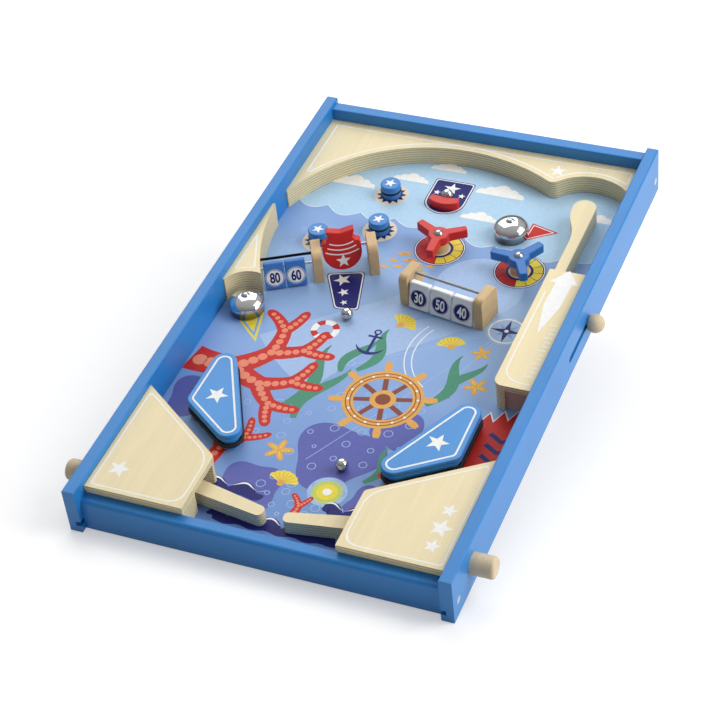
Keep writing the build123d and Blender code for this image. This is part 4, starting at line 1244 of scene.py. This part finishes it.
def lamp(name, place, target, size, power):
    """A square soft lamp that faces a point."""
    light = bpy.data.lights.new(name, "AREA")
    light.size = size
    light.energy = power
    holder = bpy.data.objects.new(name, light)
    holder.matrix_world = aimed(place, target)
    bpy.context.scene.collection.objects.link(holder)


def room(above, horizon, front):
    """Room light that grows with the height it comes from and is weaker from the player's end."""
    world = bpy.data.worlds.new("studio_room")
    world.use_nodes = True
    tree = world.node_tree
    parts = tree.nodes.new("ShaderNodeSeparateXYZ")
    tree.links.new(tree.nodes.new("ShaderNodeTexCoord").outputs["Generated"], parts.inputs["Vector"])
    product = tree.nodes.new("ShaderNodeMath")
    product.operation = "MULTIPLY"
    falls = (("Z", (0.0, 0.8, horizon, above)), ("Y", (-0.8, 0.2, front, 1.0)))
    for socket, (axis, values) in zip(product.inputs, falls):
        spread = tree.nodes.new("ShaderNodeMapRange")
        for name, value in zip(("From Min", "From Max", "To Min", "To Max"), values):
            spread.inputs[name].default_value = value
        tree.links.new(parts.outputs[axis], spread.inputs["Value"])
        tree.links.new(spread.outputs["Result"], socket)
    backdrop = tree.nodes["Background"]
    backdrop.inputs["Color"].default_value = (1, 1, 1, 1)
    tree.links.new(product.outputs["Value"], backdrop.inputs["Strength"])
    return world


FLOOR_HALF = 6.0

# Place and edge of each lamp in metres, and the setting that holds its power
LAMPS = {
    "key_lamp": ((1.75, 0.35, 1.75), 1.5, "key"),
    "right_card": ((2.0, -0.1, 0.55), 1.0, "card"),
    "top_lamp": ((-0.8, 1.25, 2.1), 2.2, "fill"),
}


class PINBALL_OT_stage(Operator):
    """Set the floor, the light and the camera"""

    bl_idname = "pinball.stage"
    bl_label = "Stage"

    def execute(self, context):
        stage = settings("pinball_stage")
        scene = context.scene
        scene.view_settings.view_transform = "Standard"
        rows = (-FLOOR_HALF, FLOOR_HALF)
        mesh = bpy.data.meshes.new("studio_floor")
        mesh.from_pydata([(x, y, 0.0) for y in rows for x in rows], [], [(0, 1, 3, 2)])
        floor = bpy.data.objects.new("studio_floor", mesh)
        scene.collection.objects.link(floor)
        mesh.materials.append(paper("floor_paper", stage.floor, stage.lift))
        for name, (place, size, power) in LAMPS.items():
            lamp(name, place, stage.target, size, getattr(stage, power))
        scene.world = room(stage.sky, stage.horizon, stage.front)
        lens = bpy.data.cameras.new("studio_camera")
        lens.sensor_width = 36.0
        lens.sensor_fit = "HORIZONTAL"
        lens.lens = stage.lens
        camera = bpy.data.objects.new("studio_camera", lens)
        camera.matrix_world = aimed(stage.place, stage.target) @ Matrix.Rotation(stage.roll, 4, "Z")
        scene.collection.objects.link(camera)
        scene.camera = camera
        return {"FINISHED"}


OPERATORS = (
    PINBALL_OT_box,
    PINBALL_OT_woodwork,
    PINBALL_OT_playfield,
    PINBALL_OT_targets,
    PINBALL_OT_lines,
    PINBALL_OT_numbers,
    PINBALL_OT_fittings,
    PINBALL_OT_metal,
    PINBALL_OT_stage,
)
GROUPS = {
    "pinball_box": BoxFinish,
    "pinball_print": FieldPrint,
    "pinball_fittings": FittingFinish,
    "pinball_stage": StageSettings,
}


class PINBALL_PT_dresser(Panel):
    """The steps that dress the game, with their settings"""

    bl_label = "Pinball Dresser"
    bl_idname = "PINBALL_PT_dresser"
    bl_space_type = "VIEW_3D"
    bl_region_type = "UI"
    bl_category = "Pinball"

    def draw(self, context):
        for step in OPERATORS:
            self.layout.operator(step.bl_idname)
        for name in GROUPS:
            group = getattr(context.scene, name)
            box = self.layout.box()
            for key in group.__annotations__:
                box.prop(group, key)


def register():
    """Add the classes and the scene's settings."""
    for group in GROUPS.values():
        bpy.utils.register_class(group)
    for step in OPERATORS:
        bpy.utils.register_class(step)
    bpy.utils.register_class(PINBALL_PT_dresser)
    for name, group in GROUPS.items():
        setattr(bpy.types.Scene, name, PointerProperty(type=group))


def unregister():
    """Take the settings and the classes away again."""
    for name in GROUPS:
        delattr(bpy.types.Scene, name)
    bpy.utils.unregister_class(PINBALL_PT_dresser)
    for step in reversed(OPERATORS):
        bpy.utils.unregister_class(step)
    for group in GROUPS.values():
        bpy.utils.unregister_class(group)


def main():
    """Dress the game: register the steps and run each one."""
    register()
    for step in OPERATORS:
        group, name = step.bl_idname.split(".")
        getattr(getattr(bpy.ops, group), name)()


if __name__ == "__main__":
    main()
